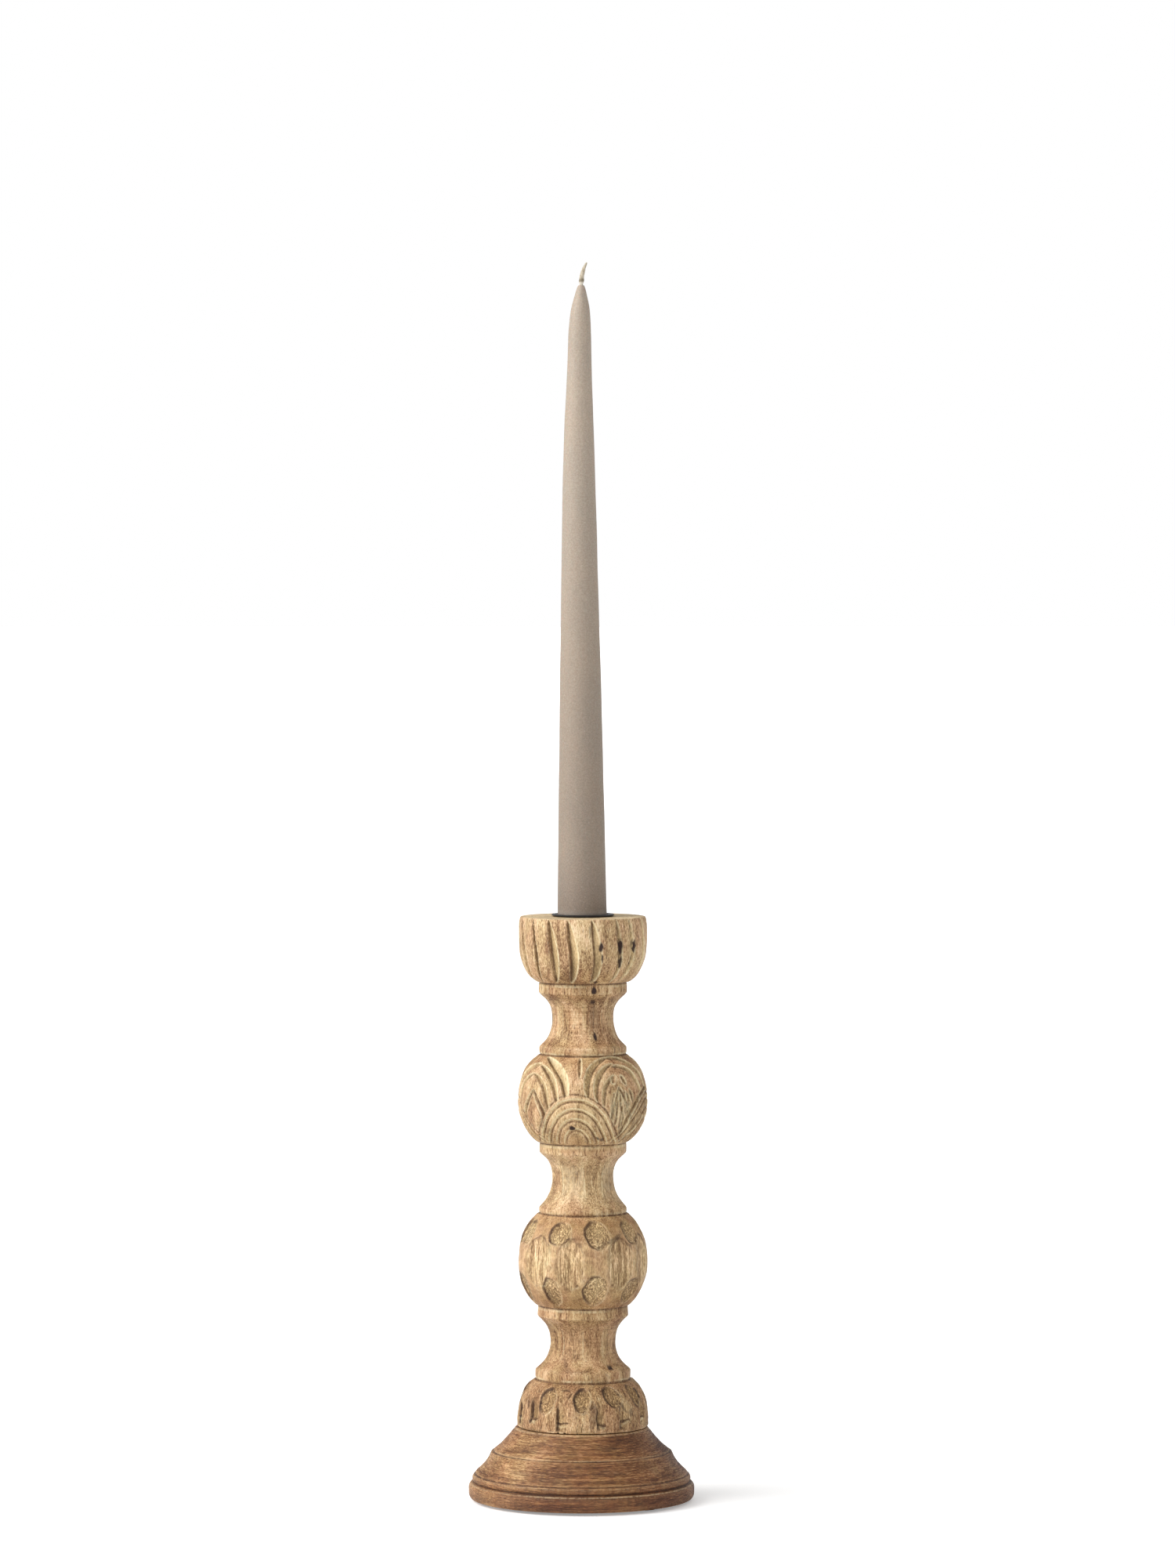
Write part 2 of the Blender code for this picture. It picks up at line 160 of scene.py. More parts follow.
@dataclass
class Grid:
    """Points spun round the axis: one row per ring, one column per direction."""

    radius: Array  # of each row
    height: Array  # of each row
    travel: Array  # distance along the outline to each row
    facing: Array  # radial and upward part of the outline's outward direction, for each row
    angle: Array  # of each column
    closed: bool  # whether the last row joins the first, as on a ring or a tube
    depth: Array  # how far each point is pressed in, along the row's inward direction
    marks: dict[str, Array] = field(default_factory=dict)  # from 0 to 1, for the finishes

    def outside(self) -> slice:
        """Give the rows of the outer side, from the highest row to the lowest."""
        top = int(np.argmax(self.height))
        return slice(top, top + int(np.argmin(self.height[top:])) + 1)

    def at(self, height: Array | float, values: Array) -> Array:
        """Read values of the rows at a height on the outer side."""
        side = self.outside()
        return np.interp(-np.asarray(height, float), -self.height[side], values[side])

    def outer_rows(self, low: float, high: float) -> Array:
        """Mark the rows of the outer side that lie between two heights, as a column.

        Args:
            low: lowest height.
            high: highest height.

        Returns:
            Whether each row is one of them.
        """
        rows = np.zeros(len(self.height), bool)
        side = self.outside()
        rows[side] = (self.height[side] >= low) & (self.height[side] <= high)
        return rows[:, None]

    def ring(self, height: float, width: float) -> Array:
        """Give 1 on a ring at a height, falling off on both sides over a width, as a column."""
        return np.exp(-(((self.height - height) / width) ** 2))[:, None]

    def beside(self, angle: float) -> tuple[Array, Array]:
        """Give each point's distance to the right of an angle, and whether it is near it."""
        turn = np.radians(wrapped(self.angle[None, :] - angle))
        return np.sin(turn) * self.radius[:, None], np.abs(turn) < NEARBY

    def patch(self, angle: float, height: float, lean: float = 0.0) -> tuple[Array, Array, Array]:
        """Lay a flat patch on the outer side.

        Args:
            angle: of its middle.
            height: of its middle.
            lean: degrees that its top leans to the right.

        Returns:
            How far to the right and down each point is, and whether it is near the patch.
        """
        turn = np.radians(wrapped(self.angle[None, :] - angle))
        across = np.sin(turn) * self.at(height, self.radius)
        down = (self.travel - float(self.at(height, self.travel)))[:, None]
        cosine, sine = math.cos(math.radians(lean)), math.sin(math.radians(lean))
        return across * cosine + down * sine, -across * sine + down * cosine, np.abs(turn) < NEARBY

    def press(self, depth: Array) -> None:
        """Press the points in, where this goes deeper than what is pressed already."""
        self.depth = np.maximum(self.depth, depth)

    def shift(self, depth: Array) -> None:
        """Press the points in by a further depth, or raise them where it is negative."""
        self.depth = self.depth + depth

    def mark(self, name: str, values: Array) -> None:
        """Set a named mark, where this is stronger than what is set already."""
        held = self.marks.get(name, np.zeros_like(self.depth))
        self.marks[name] = limit(np.maximum(held, values))

    def places(self) -> Array:
        """Work out where the points stand.

        Returns:
            Their coordinates in mm, rows by columns by three.
        """
        turn = np.radians(self.angle)[None, :]
        radius = self.radius[:, None] - self.facing[:, :1] * self.depth
        height = self.height[:, None] - self.facing[:, 1:] * self.depth
        return np.stack([radius * np.sin(turn), -radius * np.cos(turn), height], axis=2)


def spin(start: Point, legs: Sequence[Leg], sides: int, softness: float, closed: bool = False) -> Grid:
    """Spin a turned outline into a grid of points.

    Args:
        start: radius and height at which the outline starts.
        legs: its smooth stretches, with a corner between two.  Each gives the longest distance
            between two rows, then the points that it runs through.  Outward is on the right.
        sides: number of columns in the grid.
        softness: half-width over which corners are rounded.
        closed: whether the outline comes back to its start.

    Returns:
        The grid, with nothing pressed into it.
    """
    fineness, tightest, closest = 0.08, 0.36, 0.2
    traced, steps, last = [], [], start
    for step, *points in legs:
        samples = smooth_curve((last, *points), fineness)
        traced.append(samples[:-1])
        steps.append(np.full(len(samples) - 1, step))
        last = points[-1]
    line, step = np.vstack([*traced, samples[-1:]]), np.concatenate([*steps, [step]])
    travel = np.concatenate([[0.0], np.cumsum(np.hypot(*np.diff(line, axis=0).T))])
    even = np.linspace(0.0, travel[-1], max(8, int(travel[-1] / fineness)))
    width = softness / (even[1] - even[0])
    radius = blurred(np.interp(even, travel, line[:, 0]), width)
    height = blurred(np.interp(even, travel, line[:, 1]), width)
    along = np.stack([np.gradient(radius, even), np.gradient(height, even)], axis=1)
    along /= np.maximum(np.hypot(*along.T), 1e-9)[:, None]
    bend = np.hypot(*np.gradient(along, even, axis=0).T)
    spacing = np.maximum(tightest / np.maximum(bend, 1e-6), closest)
    spacing = np.minimum(np.interp(even, travel, step), spacing)
    rows_passed = np.concatenate([[0.0], np.cumsum(np.diff(even) / spacing[:-1])])
    picked = np.interp(np.linspace(0.0, rows_passed[-1], max(6, int(rows_passed[-1]))), rows_passed, even)
    picked = picked[:-1] if closed else picked
    return Grid(
        radius=np.maximum(np.interp(picked, even, radius), 0.0),
        height=np.interp(picked, even, height),
        travel=picked,
        facing=np.stack([-np.interp(picked, even, along[:, 1]), np.interp(picked, even, along[:, 0])], 1),
        angle=np.arange(sides) * (360.0 / sides) - 180.0,
        closed=closed,
        depth=np.zeros((len(picked), sides)),
    )


def mottle(grid: Grid, wide: float, tall: float, seed: int, tilt: float = 0.0) -> Array:
    """Make smooth random values over a grid, of a given patch size.

    Args:
        grid: the grid of points.
        wide: width of a patch round the piece, at MOTTLE_RADIUS.
        tall: length of a patch along the outline.
        seed: choice of the pattern.
        tilt: degrees that a pattern turns for each mm along the outline.

    Returns:
        Values from -1 to 1, one for each point.
    """
    columns = max(4, int(round(math.tau * MOTTLE_RADIUS / wide)))
    rows = int(grid.travel[-1] / tall) + 4
    cells = np.random.default_rng(seed).uniform(-1.0, 1.0, (rows, columns))
    across = (((grid.angle[None, :] + tilt * grid.travel[:, None]) % 360.0) / 360.0) * columns
    down = (grid.travel / tall)[:, None] + np.zeros_like(across)
    left, upper = np.floor(across).astype(int), np.floor(down).astype(int)
    u, v = across - left, down - upper
    u, v = u * u * (3 - 2 * u), v * v * (3 - 2 * v)
    left %= columns
    right = (left + 1) % columns
    over = cells[upper, left] * (1 - u) + cells[upper, right] * u
    under = cells[upper + 1, left] * (1 - u) + cells[upper + 1, right] * u
    return over * (1 - v) + under * v


def note_wear(grid: Grid, worn_from: float = 0.4, stained_from: float = 0.06) -> None:
    """Mark the worn edges and the hollows that hold stain, from how the surface bends.

    Args:
        grid: the carved grid.
        worn_from: outward bend, in 1/mm, at which wear begins.
        stained_from: inward bend, in 1/mm, at which stain begins.
    """
    places = grid.places()
    around = (np.roll(places, -1, axis=1) - np.roll(places, 1, axis=1)) / 2
    normal = np.cross(np.gradient(places, axis=0), around)
    normal /= np.maximum(np.linalg.norm(normal, axis=2, keepdims=True), 1e-9)
    bends = np.zeros(places.shape[:2])
    rows = np.arange(len(places))
    for reach in (1, 2):
        sideways = np.roll(places, reach, axis=1), np.roll(places, -reach, axis=1)
        upright = places[np.maximum(rows - reach, 0)], places[np.minimum(rows + reach, len(places) - 1)]
        for one, two in (sideways, upright):
            gap = np.linalg.norm(two - one, axis=2) / 2
            sag = np.einsum("ijk,ijk->ij", (one + two) / 2 - places, normal)
            bends += np.clip(sag / np.maximum(gap, 0.25) ** 2, -1.2, 1.2) / 2
    grid.mark("stain_and_shade", np.clip((bends - stained_from) / 0.55, 0.0, 0.85))
    grid.mark("worn_and_lit", np.clip((-bends - worn_from) / 1.0, 0.0, 0.4) * (1 - grid.marks["stain_and_shade"]) ** 2)


def make_piece(
    name: str,
    grid: Grid,
    finish: Material,
    body: str,
    node: str,
    bend: Sequence[Point] = (),
    place: Matrix | None = None,
) -> None:
    """Turn a grid into a shown piece that stands for a CAD node, and dress it.

    Args:
        name: the piece's name.
        grid: its points.
        finish: its material.
        body: the CAD body that it moves with.
        node: the CAD node that it stands for.
        bend: how far the axis stands to the right, by height; none where it is straight.
        place: where the piece's own axis stands, for a piece off the main axis.
    """
    places = grid.places()
    if len(bend):
        heights, offsets = np.array(sorted((h, x) for x, h in bend)).T
        places[:, :, 0] += np.interp(places[:, :, 2], heights, offsets)
    rows, sides = places.shape[:2]
    index = np.arange(rows * sides).reshape(rows, sides)
    after = np.roll(index, -1, axis=1)
    here = np.arange(rows) if grid.closed else np.arange(1, rows - 2)
    there = (here + 1) % rows
    faces = np.stack([index[here], index[there], after[there], after[here]], axis=2).reshape(-1, 4).tolist()
    points = places.reshape(-1, 3)
    keep = np.ones(rows * sides, bool)
    if not grid.closed:  # the first and last row close to a point on the axis
        for row, one, two in ((0, index[1], after[1]), (rows - 1, after[rows - 2], index[rows - 2])):
            hub = int(index[row, 0])
            points[hub] = places[row].mean(axis=0)
            keep[index[row, 1:]] = False
            faces += [(hub, a, b) for a, b in zip(one.tolist(), two.tolist())]
    new_number = np.cumsum(keep) - 1
    faces = [[int(new_number[corner]) for corner in face] for face in faces]
    shape = bpy.data.meshes.new(name)
    shape.from_pydata(((points[keep] + (0.0, 0.0, UNDERSIDE)) * MM).tolist(), [], faces)
    for mark, values in grid.marks.items():
        layer = shape.attributes.new(mark, "FLOAT", "POINT")
        layer.data.foreach_set("value", values.reshape(-1)[keep].astype(np.float32))
    shape.shade_smooth()
    shape.set_sharp_from_angle(angle=SHARP_FROM)
    shape.validate()
    shape.materials.append(finish)
    piece = bpy.data.objects.new(name, shape)
    bpy.context.scene.collection.objects.link(piece)
    if place is not None:
        shape.transform(place)
    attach(piece, body)
    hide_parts(node)
    LOG.info("%s: %d points, %d faces", name, len(shape.vertices), len(shape.polygons))


# ---- Carving tools ----


class Side(Enum):
    """The side on which a gouge stroke runs out gently, seen from outside, going down."""

    LEFT = -1
    RIGHT = 1


@dataclass(frozen=True)
class Stroke:
    """One pull of a gouge: a steep wall beside its deepest line, and a gentle one opposite."""

    path: tuple[Point, ...]  # angle and height along the deepest line, from its top down
    width: float  # of the gentle side, where it is widest
    depth: float  # where it is deepest
    side: Side = Side.RIGHT  # on which the gentle wall is
    steep: float = 0.22  # width of the steep wall, as a share of the gentle one's
    ends: Point = (0.15, 0.15)  # width at both ends, as a share of the widest
    rough: float = 0.35  # how torn the cut is
    shade: float = 0.75  # how dark its deepest line is: stain and painted shadow
    gleam: float = 0.8  # how pale its rim is, on the gentle side: rubbed edge and painted highlight
    hollow: float = 2.2  # how flat its floor is
    lip: float = 0.0  # how pale its rim is, on the steep side: a painted highlight
    clean: float = 1.0  # how bare its floor is of the old surface
    pale: float = 0.0  # how pale its floor is

    def mirrored(self) -> "Stroke":
        """Give the stroke's mirror image about the front."""
        side = Side.LEFT if self.side is Side.RIGHT else Side.RIGHT
        return replace(self, path=tuple((-angle, height) for angle, height in self.path), side=side)

    def turned(self, angle: float) -> "Stroke":
        """Give the stroke moved round the piece by an angle."""
        return replace(self, path=tuple((a + angle, height) for a, height in self.path))

    def cut(self, grid: Grid, room: Array | float = 1.0) -> None:
        """Press the stroke into a grid.

        Args:
            grid: the grid to carve.
            room: share of the depth that each point allows, where something keeps it out.
        """
        angles, heights = np.array(self.path, float).T
        middle = angles.mean()
        scale = grid.at(heights, grid.radius)
        flat = np.stack([np.radians(angles - middle) * scale, grid.at(heights, grid.travel)], axis=1)
        line = smooth_curve([tuple(p) for p in flat], 0.3)
        reach = self.width * 1.3
        top, bottom = line[:, 1].min() - reach, line[:, 1].max() + reach
        rows = np.flatnonzero((grid.travel > top) & (grid.travel < bottom))
        span = math.degrees((np.abs(line[:, 0]).max() + reach) / grid.radius[rows].min())
        columns = np.flatnonzero(np.abs(wrapped(grid.angle - middle)) < span)
        across = np.radians(wrapped(grid.angle[columns] - middle))[None, :] * grid.radius[rows][:, None]
        down = grid.travel[rows][:, None] + np.zeros_like(across)
        points = np.stack([across.ravel(), down.ravel()], axis=1)
        nearest = np.empty(len(points), int)
        block = 4000
        for start in range(0, len(points), block):
            away = ((points[start : start + block, None, :] - line[None, :, :]) ** 2).sum(axis=2)
            nearest[start : start + block] = away.argmin(axis=1)
        tangent = np.gradient(line, axis=0)
        tangent /= np.maximum(np.hypot(*tangent.T), 1e-9)[:, None]
        offset = points - line[nearest]
        distance = np.hypot(*offset.T)
        sideways = offset[:, 0] * tangent[nearest, 1] - offset[:, 1] * tangent[nearest, 0]
        gentle = sideways * self.side.value >= 0
        share = nearest / (len(line) - 1)
        least = self.ends[0] * (1 - share) + self.ends[1] * share
        fullness = least + (1 - least) * np.sin(math.pi * share) ** 0.7
        wall = np.where(gentle, self.width, self.width * self.steep) * fullness
        x = limit(distance / np.maximum(wall, 1e-6))
        rim = np.where(gentle, distance - wall, FAR)
        bared = self.clean * limit((wall - distance) / 0.4 + 0.3) * gentle
        gleam = self.gleam * bell((rim + 0.1) / 0.45) * fullness**0.5
        lip = self.lip * bell((distance - wall - 0.15) / 0.5) * ~gentle
        pale = self.pale * limit((x - 0.25) * 2.5) * (x < 1.0) * gentle

        def spread(values: Array) -> Array:
            """Spread the values of the cut's own points over the whole grid.

            Args:
                values: one for each of the cut's points.

            Returns:
                The values on the grid.
            """
            whole = np.zeros_like(grid.depth)
            whole[np.ix_(rows, columns)] = values.reshape(across.shape)
            return whole * room

        grid.press(spread(self.depth * np.sqrt(fullness) * np.where(gentle, 1 - x**self.hollow, 1 - x)))
        grid.mark("bared", spread(bared))
        grid.mark("torn", spread(bared) * self.rough / max(self.clean, 0.01))
        # Stain and painted shadow along the deepest line; rubbed edges and painted highlights on the rims.
        grid.mark("stain_and_shade", spread(self.shade * bell(distance / 0.58) * fullness**0.3))
        grid.mark("ridge", spread(gleam + lip + pale))


@dataclass(frozen=True)
class Scoop:
    """An oval cut with a wide gouge, hollow in both directions."""

    angle: float  # of its middle
    height: float  # of its middle
    half_width: float
    half_length: float
    depth: float
    lean: float = 0.0  # degrees that its top leans to the right
    skew: float = 0.25  # how much deeper it is on its left side than on its right
    rough: float = 0.9  # how torn the cut is
    shade: float = 0.3  # how dark the painted shadow on its left edge is

    def cut(self, grid: Grid) -> None:
        """Press the oval into a grid.

        Args:
            grid: the grid to carve.
        """
        u, v, near = grid.patch(self.angle, self.height, self.lean)
        u, v = u / self.half_width, v / self.half_length
        out = np.hypot(u, v) * (1 + 0.08 * mottle(grid, 3.4, 3.2, int(self.height * 11) % 991))
        inside = limit(1 - out**2) * near
        grid.press(self.depth * inside**0.5 * (1 - self.skew * u))
        grid.mark("bared", 0.75 * limit(inside * 5))
        grid.mark("torn", self.rough * limit(inside * 5))
        # Painted shadow along the upper left rim, away from the lamp.
        rim = bell((out - 0.95) * self.half_width / 0.8) * near
        shaded = limit(0.35 - 1.1 * u - 0.3 * v)
        grid.mark("stain_and_shade", rim * shaded)
        grid.mark("knot_and_shadow", self.shade * rim * limit(shaded - 0.2))
        # Painted highlight on the lower right rim, facing the lamp.
        lit = bell((out - 1.06) * self.half_width / 0.5) * near
        grid.mark("ridge", 0.3 * lit * limit(0.8 * u + 0.4 * v - 0.1))


@dataclass(frozen=True)
class Flat:
    """A tall facet, flat across, that tapers to a blunt point at each end."""

    angle: float  # of its middle
    height: float  # of its middle
    half_width: float  # where it is widest
    half_length: float
    depth: float  # along its middle line

    def cut(self, grid: Grid) -> None:
        """Press the facet into a grid.

        Args:
            grid: the grid to carve.
        """
        across, down, near = grid.patch(self.angle, self.height)
        out = np.sqrt(np.abs(across / self.half_width) ** 1.8 + np.abs(down / self.half_length) ** 2.4)
        out = out * (1 + 0.09 * mottle(grid, 2.4, 2.0, int(abs(self.angle) * 7) % 991))
        inside = limit(1 - out**2) * near
        grid.press(self.depth * inside**0.85)
        grid.mark("bared", 0.45 * limit(inside * 5))
        grid.mark("fibres", limit(inside * 5))
        # Painted shadow along the top end and the left edge, and a painted highlight along the right edge.
        rim = bell((out - 1.0) * self.half_width / 0.75) * near
        top = limit(-down / self.half_length * 2.2 - 0.7)
        grid.mark("stain_and_shade", rim * np.maximum(0.85 * top, 0.3 * (across < 0)))
        grid.mark("ridge", 0.22 * rim * (across > 0) * (1 - top))


@dataclass(frozen=True)
class Channel:
    """A straight-sided gouge cut that deepens downwards to a stop cut near its lower end."""

    angle: float  # of its steep left side
    width: float  # from side to side
    top: float  # height at which the gouge goes in
    bottom: float  # height at which it ends
    stop: float  # height of the stop cut
    depth: float = 1.5  # at the stop

    def cut(self, grid: Grid) -> None:
        """Press the channel into a grid.

        Args:
            grid: the grid to carve.
        """
        across, near = grid.beside(self.angle)
        across = across + 0.35 * mottle(grid, 6.0, 3.0, int(abs(self.angle) * 5) % 983)
        near = near & grid.outer_rows(self.bottom - 4.0, self.top + 4.0)
        height = grid.height[:, None] + 0.25 * mottle(grid, 1.6, 1.6, 61)
        entry = limit((self.top - height) / (0.6 * (self.top - self.stop)))
        floor = limit((across + 0.5) / 0.6) * limit((self.width - across) / (0.55 * self.width)) ** 0.7 * near
        above = limit((height - self.stop) / 0.35)
        below = limit((height - self.bottom) / 1.4) * (1 - above)
        grid.press(self.depth * floor * entry * above + 0.6 * self.depth * floor * below)
        # Painted shadow along the steep left wall, where the lamp does not reach.
        wall = bell((across - 0.1) / 0.75) * near * limit(entry * 2.0) * np.maximum(above, below)
        jagged = height + 0.7 * mottle(grid, 1.5, 30.0, 62) + 0.3 * mottle(grid, 4.0, 30.0, 63)
        bar = bell((jagged - self.stop - 0.1) / 0.55) * limit(floor * 3)
        chip = bell((jagged - self.stop + 1.0) / 0.9) * limit(floor * 2)
        grid.mark("stain_and_shade", np.maximum(1.2 * wall, 1.1 * bar))
        grid.mark("knot_and_shadow", 0.6 * wall + 0.5 * bar)
        grid.mark("ridge", 0.7 * chip * limit(0.5 + mottle(grid, 2.0, 1.5, 64)))
        grid.mark("bared", 0.85 * floor * np.maximum(entry * above, below))
        grid.mark("fibres", 0.8 * floor * entry)


@dataclass(frozen=True)
class Arch:
    """Concentric arches that stand on the lower edge of a ball."""

    angle: float  # of its middle
    base: float  # height of its feet
    half_width: float  # of the outermost arch
    rise: float  # height of the outermost arch above its feet
    grooves: tuple[float, ...] = (18.7, 14.3, 9.9, 5.4)  # distance of each from the middle of the base

    def cut(self, grid: Grid) -> Array:
        """Press the arches into a grid.

        Args:
            grid: the grid to carve.

        Returns:
            The share of depth that cuts outside the arches may keep, at each point.
        """
        across, near = grid.beside(self.angle)
        up = (grid.height - self.base)[:, None]
        near = near & grid.outer_rows(self.base - 4.0, self.base + 30.0)
        out = np.where(near, np.hypot(across / self.half_width, up / self.rise) * self.rise, FAR)
        wavy = out + 0.5 * mottle(grid, 9.0, 8.0, int(abs(self.angle)) + 3) + 0.14 * mottle(grid, 2.2, 2.2, 9)
        ends = limit((up + 1.2) / 1.6)
        for number, groove in enumerate(self.grooves):
            wall = np.where(wavy < groove, (groove - wavy) / 0.75, (wavy - groove) / 1.7)
            grid.press((0.95 - 0.12 * number) * limit(1 - wall) * ends)
            uneven = 0.5 + 0.6 * mottle(grid, 10.0, 7.0, 41 + number)
            # Stain and painted shadow on the step of each groove.
            grid.mark("stain_and_shade", 1.15 * uneven * bell((wavy - groove) / 0.5) * ends)
            grid.mark("ridge", 0.9 * bell((wavy - groove - 1.35) / 0.5) * ends)
            grid.mark("bared", 0.8 * bell((wavy - groove - 1.1) / 1.1) * ends)
            flat = bell((wavy - groove + 2.0) / 1.7) * ends
            ticks = mottle(grid, 1.0, 40.0, 71 + number)
            grid.shift(0.10 * ticks * flat)
            grid.mark("stain_and_shade", 0.5 * limit(ticks - 0.35) * flat)
        inner = self.grooves[-1] - 0.8
        grid.press(np.where(out < inner, 0.75 * bell(out / inner), 0.0))
        grid.mark("bared", np.where(wavy < self.rise + 2.0, np.clip(self.rise - out, 0.0, 0.3), 0.0))
        grid.press(0.5 * bell((wavy - self.rise - 1.3) / 0.9) * ends)
        grid.mark("stain_and_shade", 0.5 * bell((wavy - self.rise - 1.3) / 0.6) * ends)
        return limit((out - self.rise - 0.6) / 0.9)


@dataclass(frozen=True)
class Knot:
    """A dark flaw in the wood, such as a knot, a crack or a streak; a few are broad patches of painted shade.
    """

    angle: float  # of its middle
    height: float  # of its middle
    half_width: float
    half_length: float
    strength: float = 1.0  # how dark it is
    lean: float = 0.0  # degrees that its top leans to the right

    def stain_and_shade(self, grid: Grid) -> None:
        """Darken the points of a grid that the flaw covers.

        Args:
            grid: the grid to stain.
        """
        u, v, near = grid.patch(self.angle, self.height, self.lean)
        ragged = 1 + 0.35 * mottle(grid, 1.6, 1.4, int(self.height * 7) % 997)
        inside = limit(1 - ((u / self.half_width) ** 2 + (v / self.half_length) ** 2) * ragged**2) * near
        grid.mark("knot_and_shadow", self.strength * limit(inside * 2.2))
        if self.strength > 0.8:
            grid.shift(0.25 * inside)


# ---- Finishes ----


class Recipe:
    """Builds one procedural material, node by node."""

    def __init__(self, name: str) -> None:
        """Start a material with a Principled shader.

        Args:
            name: the material's name.
        """
        self.material = bpy.data.materials.new(name)
        self.material.use_nodes = True
        self.tree = self.material.node_tree
        self.link = self.tree.links.new
        self.shader = self.tree.nodes["Principled BSDF"]
        scaled = self.add("VectorMath", operation="SCALE")
        scaled.inputs["Scale"].default_value = 1.0 / MM
        self.link(self.add("TexCoord").outputs["Object"], scaled.inputs[0])
        self.place = scaled.outputs[0]  # in mm
        self.colour: object = None  # of the surface, so far

    def add(self, kind: str, **settings: object) -> bpy.types.Node:
        """Add a node of a kind, with some settings.

        Args:
            kind: Blender's name of it, after ShaderNode.
            settings: properties of the node, by name.

        Returns:
            The node.
        """
        node = self.tree.nodes.new("ShaderNode" + kind)
        for name, value in settings.items():
            setattr(node, name, value)
        return node

    def feed(self, socket: Socket, value: object) -> None:
        """Link a socket to another, or set its value.

        Args:
            socket: the socket.
            value: the other socket, or the value.
        """
        if isinstance(value, bpy.types.NodeSocket):
            self.link(value, socket)
        else:
            socket.default_value = (*value, 1.0) if socket.type == "RGBA" else value

    def stretched(self, scale: Colour) -> Socket:
        """Give the place on the piece in mm, scaled along each axis.

        Args:
            scale: along each axis.

        Returns:
            The scaled place.
        """
        node = self.add("Mapping")
        node.inputs["Scale"].default_value = scale
        self.link(self.place, node.inputs["Vector"])
        return node.outputs["Vector"]

    def noise(self, scale: Colour, detail: float = 2.0, roughness: float = 0.55, bend: float = 0.0) -> Socket:
        """Make a noise from 0 to 1.

        Args:
            scale: waves per mm along each axis.
            detail: number of finer layers.
            roughness: strength of the finer layers.
            bend: how much the pattern is warped.

        Returns:
            The noise.
        """
        node = self.add("TexNoise")
        settings = {"Scale": 1.0, "Detail": detail, "Roughness": roughness, "Distortion": bend}
        for socket, value in settings.items():
            node.inputs[socket].default_value = value
        self.link(self.stretched(scale), node.inputs["Vector"])
        return node.outputs["Fac"]

    def specks(self, scale: Colour, size: float) -> Socket:
        """Make scattered specks, one in each cell, of a size as a share of the cell.

        Args:
            scale: cells per mm along each axis.
            size: of a speck, as a share of its cell.

        Returns:
            The specks, from 0 to 1.
        """
        node = self.add("TexVoronoi")
        node.inputs["Scale"].default_value = 1.0
        self.link(self.stretched(scale), node.inputs["Vector"])
        return self.between(node.outputs["Distance"], size, size * 0.4)

    def mark(self, name: str, share: float = 1.0) -> Socket:
        """Read a share of a named mark from the piece's points."""
        held = self.add("Attribute", attribute_name=name).outputs["Fac"]
        return held if share == 1.0 else self.times(held, share)

    def between(self, value: Socket, low: float, high: float, least: float = 0, most: float = 1) -> Socket:
        """Map a value smoothly from one range to another, clamped.

        Args:
            value: the value.
            low: value that gives the least.
            high: value that gives the most.
            least: least result.
            most: most result.

        Returns:
            The mapped value.
        """
        node = self.add("MapRange", interpolation_type="SMOOTHSTEP")
        self.feed(node.inputs["Value"], value)
        for socket, number in zip(("From Min", "From Max", "To Min", "To Max"), (low, high, least, most)):
            node.inputs[socket].default_value = number
        return node.outputs["Result"]

    def maths(self, operation: str, one: object, two: object) -> Socket:
        """Combine two values with a maths operation, such as ADD.

        Args:
            operation: Blender's name of it.
            one: the first value.
            two: the second value.

        Returns:
            The result.
        """
        node = self.add("Math", operation=operation)
        self.feed(node.inputs[0], one)
        self.feed(node.inputs[1], two)
        return node.outputs[0]

    def times(self, one: object, two: object) -> Socket:
        """Multiply two values."""
        return self.maths("MULTIPLY", one, two)

    def total(self, parts: Iterable[tuple[Socket, float]], start: float = 0.5) -> Socket:
        """Add up values about their middle of a half, each with its own weight.

        Args:
            parts: each value and its weight.
            start: what they are added to.

        Returns:
            The sum.
        """
        result: object = start
        for value, weight in parts:
            result = self.maths("ADD", self.times(self.maths("SUBTRACT", value, 0.5), weight), result)
        return result

    def colours(self, value: Socket, stops: Sequence[tuple[float, Colour]]) -> Socket:
        """Turn a value into a colour by a ramp of stops.

        Args:
            value: the value.
            stops: position and colour of each stop.

        Returns:
            The colour.
        """
        node = self.add("ValToRGB")
        ramp = node.color_ramp
        while len(ramp.elements) < len(stops):
            ramp.elements.new(0.5)
        for element, (position, colour) in zip(ramp.elements, stops):
            element.position = position
            element.color = (*colour, 1.0)
        self.link(value, node.inputs["Fac"])
        return node.outputs["Color"]

    def blend(self, share: object, under: object, over: object, way: str = "MIX") -> Socket:
        """Lay one colour over another by a share, in one of Blender's ways of mixing.

        Args:
            share: of the upper colour.
            under: the lower colour.
            over: the upper colour.
            way: Blender's name of the way.

        Returns:
            The blend.
        """
        node = self.add("Mix", data_type="RGBA", blend_type=way)
        for number, value in ((0, share), (6, under), (7, over)):
            self.feed(node.inputs[number], value)
        return node.outputs[2]

    def lay(self, share: object, over: object) -> None:
        """Lay a colour over the surface's own by a share."""
        self.colour = self.blend(share, self.colour, over)

    def tint(self, share: object, over: object) -> None:
        """Multiply the surface's colour by another, by a share."""
        self.colour = self.blend(share, self.colour, over, "MULTIPLY")

    def height(self) -> Socket:
        """Give the height above the table, in mm.

        Returns:
            The height.
        """
        node = self.add("SeparateXYZ")
        self.link(self.place, node.inputs[0])
        return node.outputs["Z"]

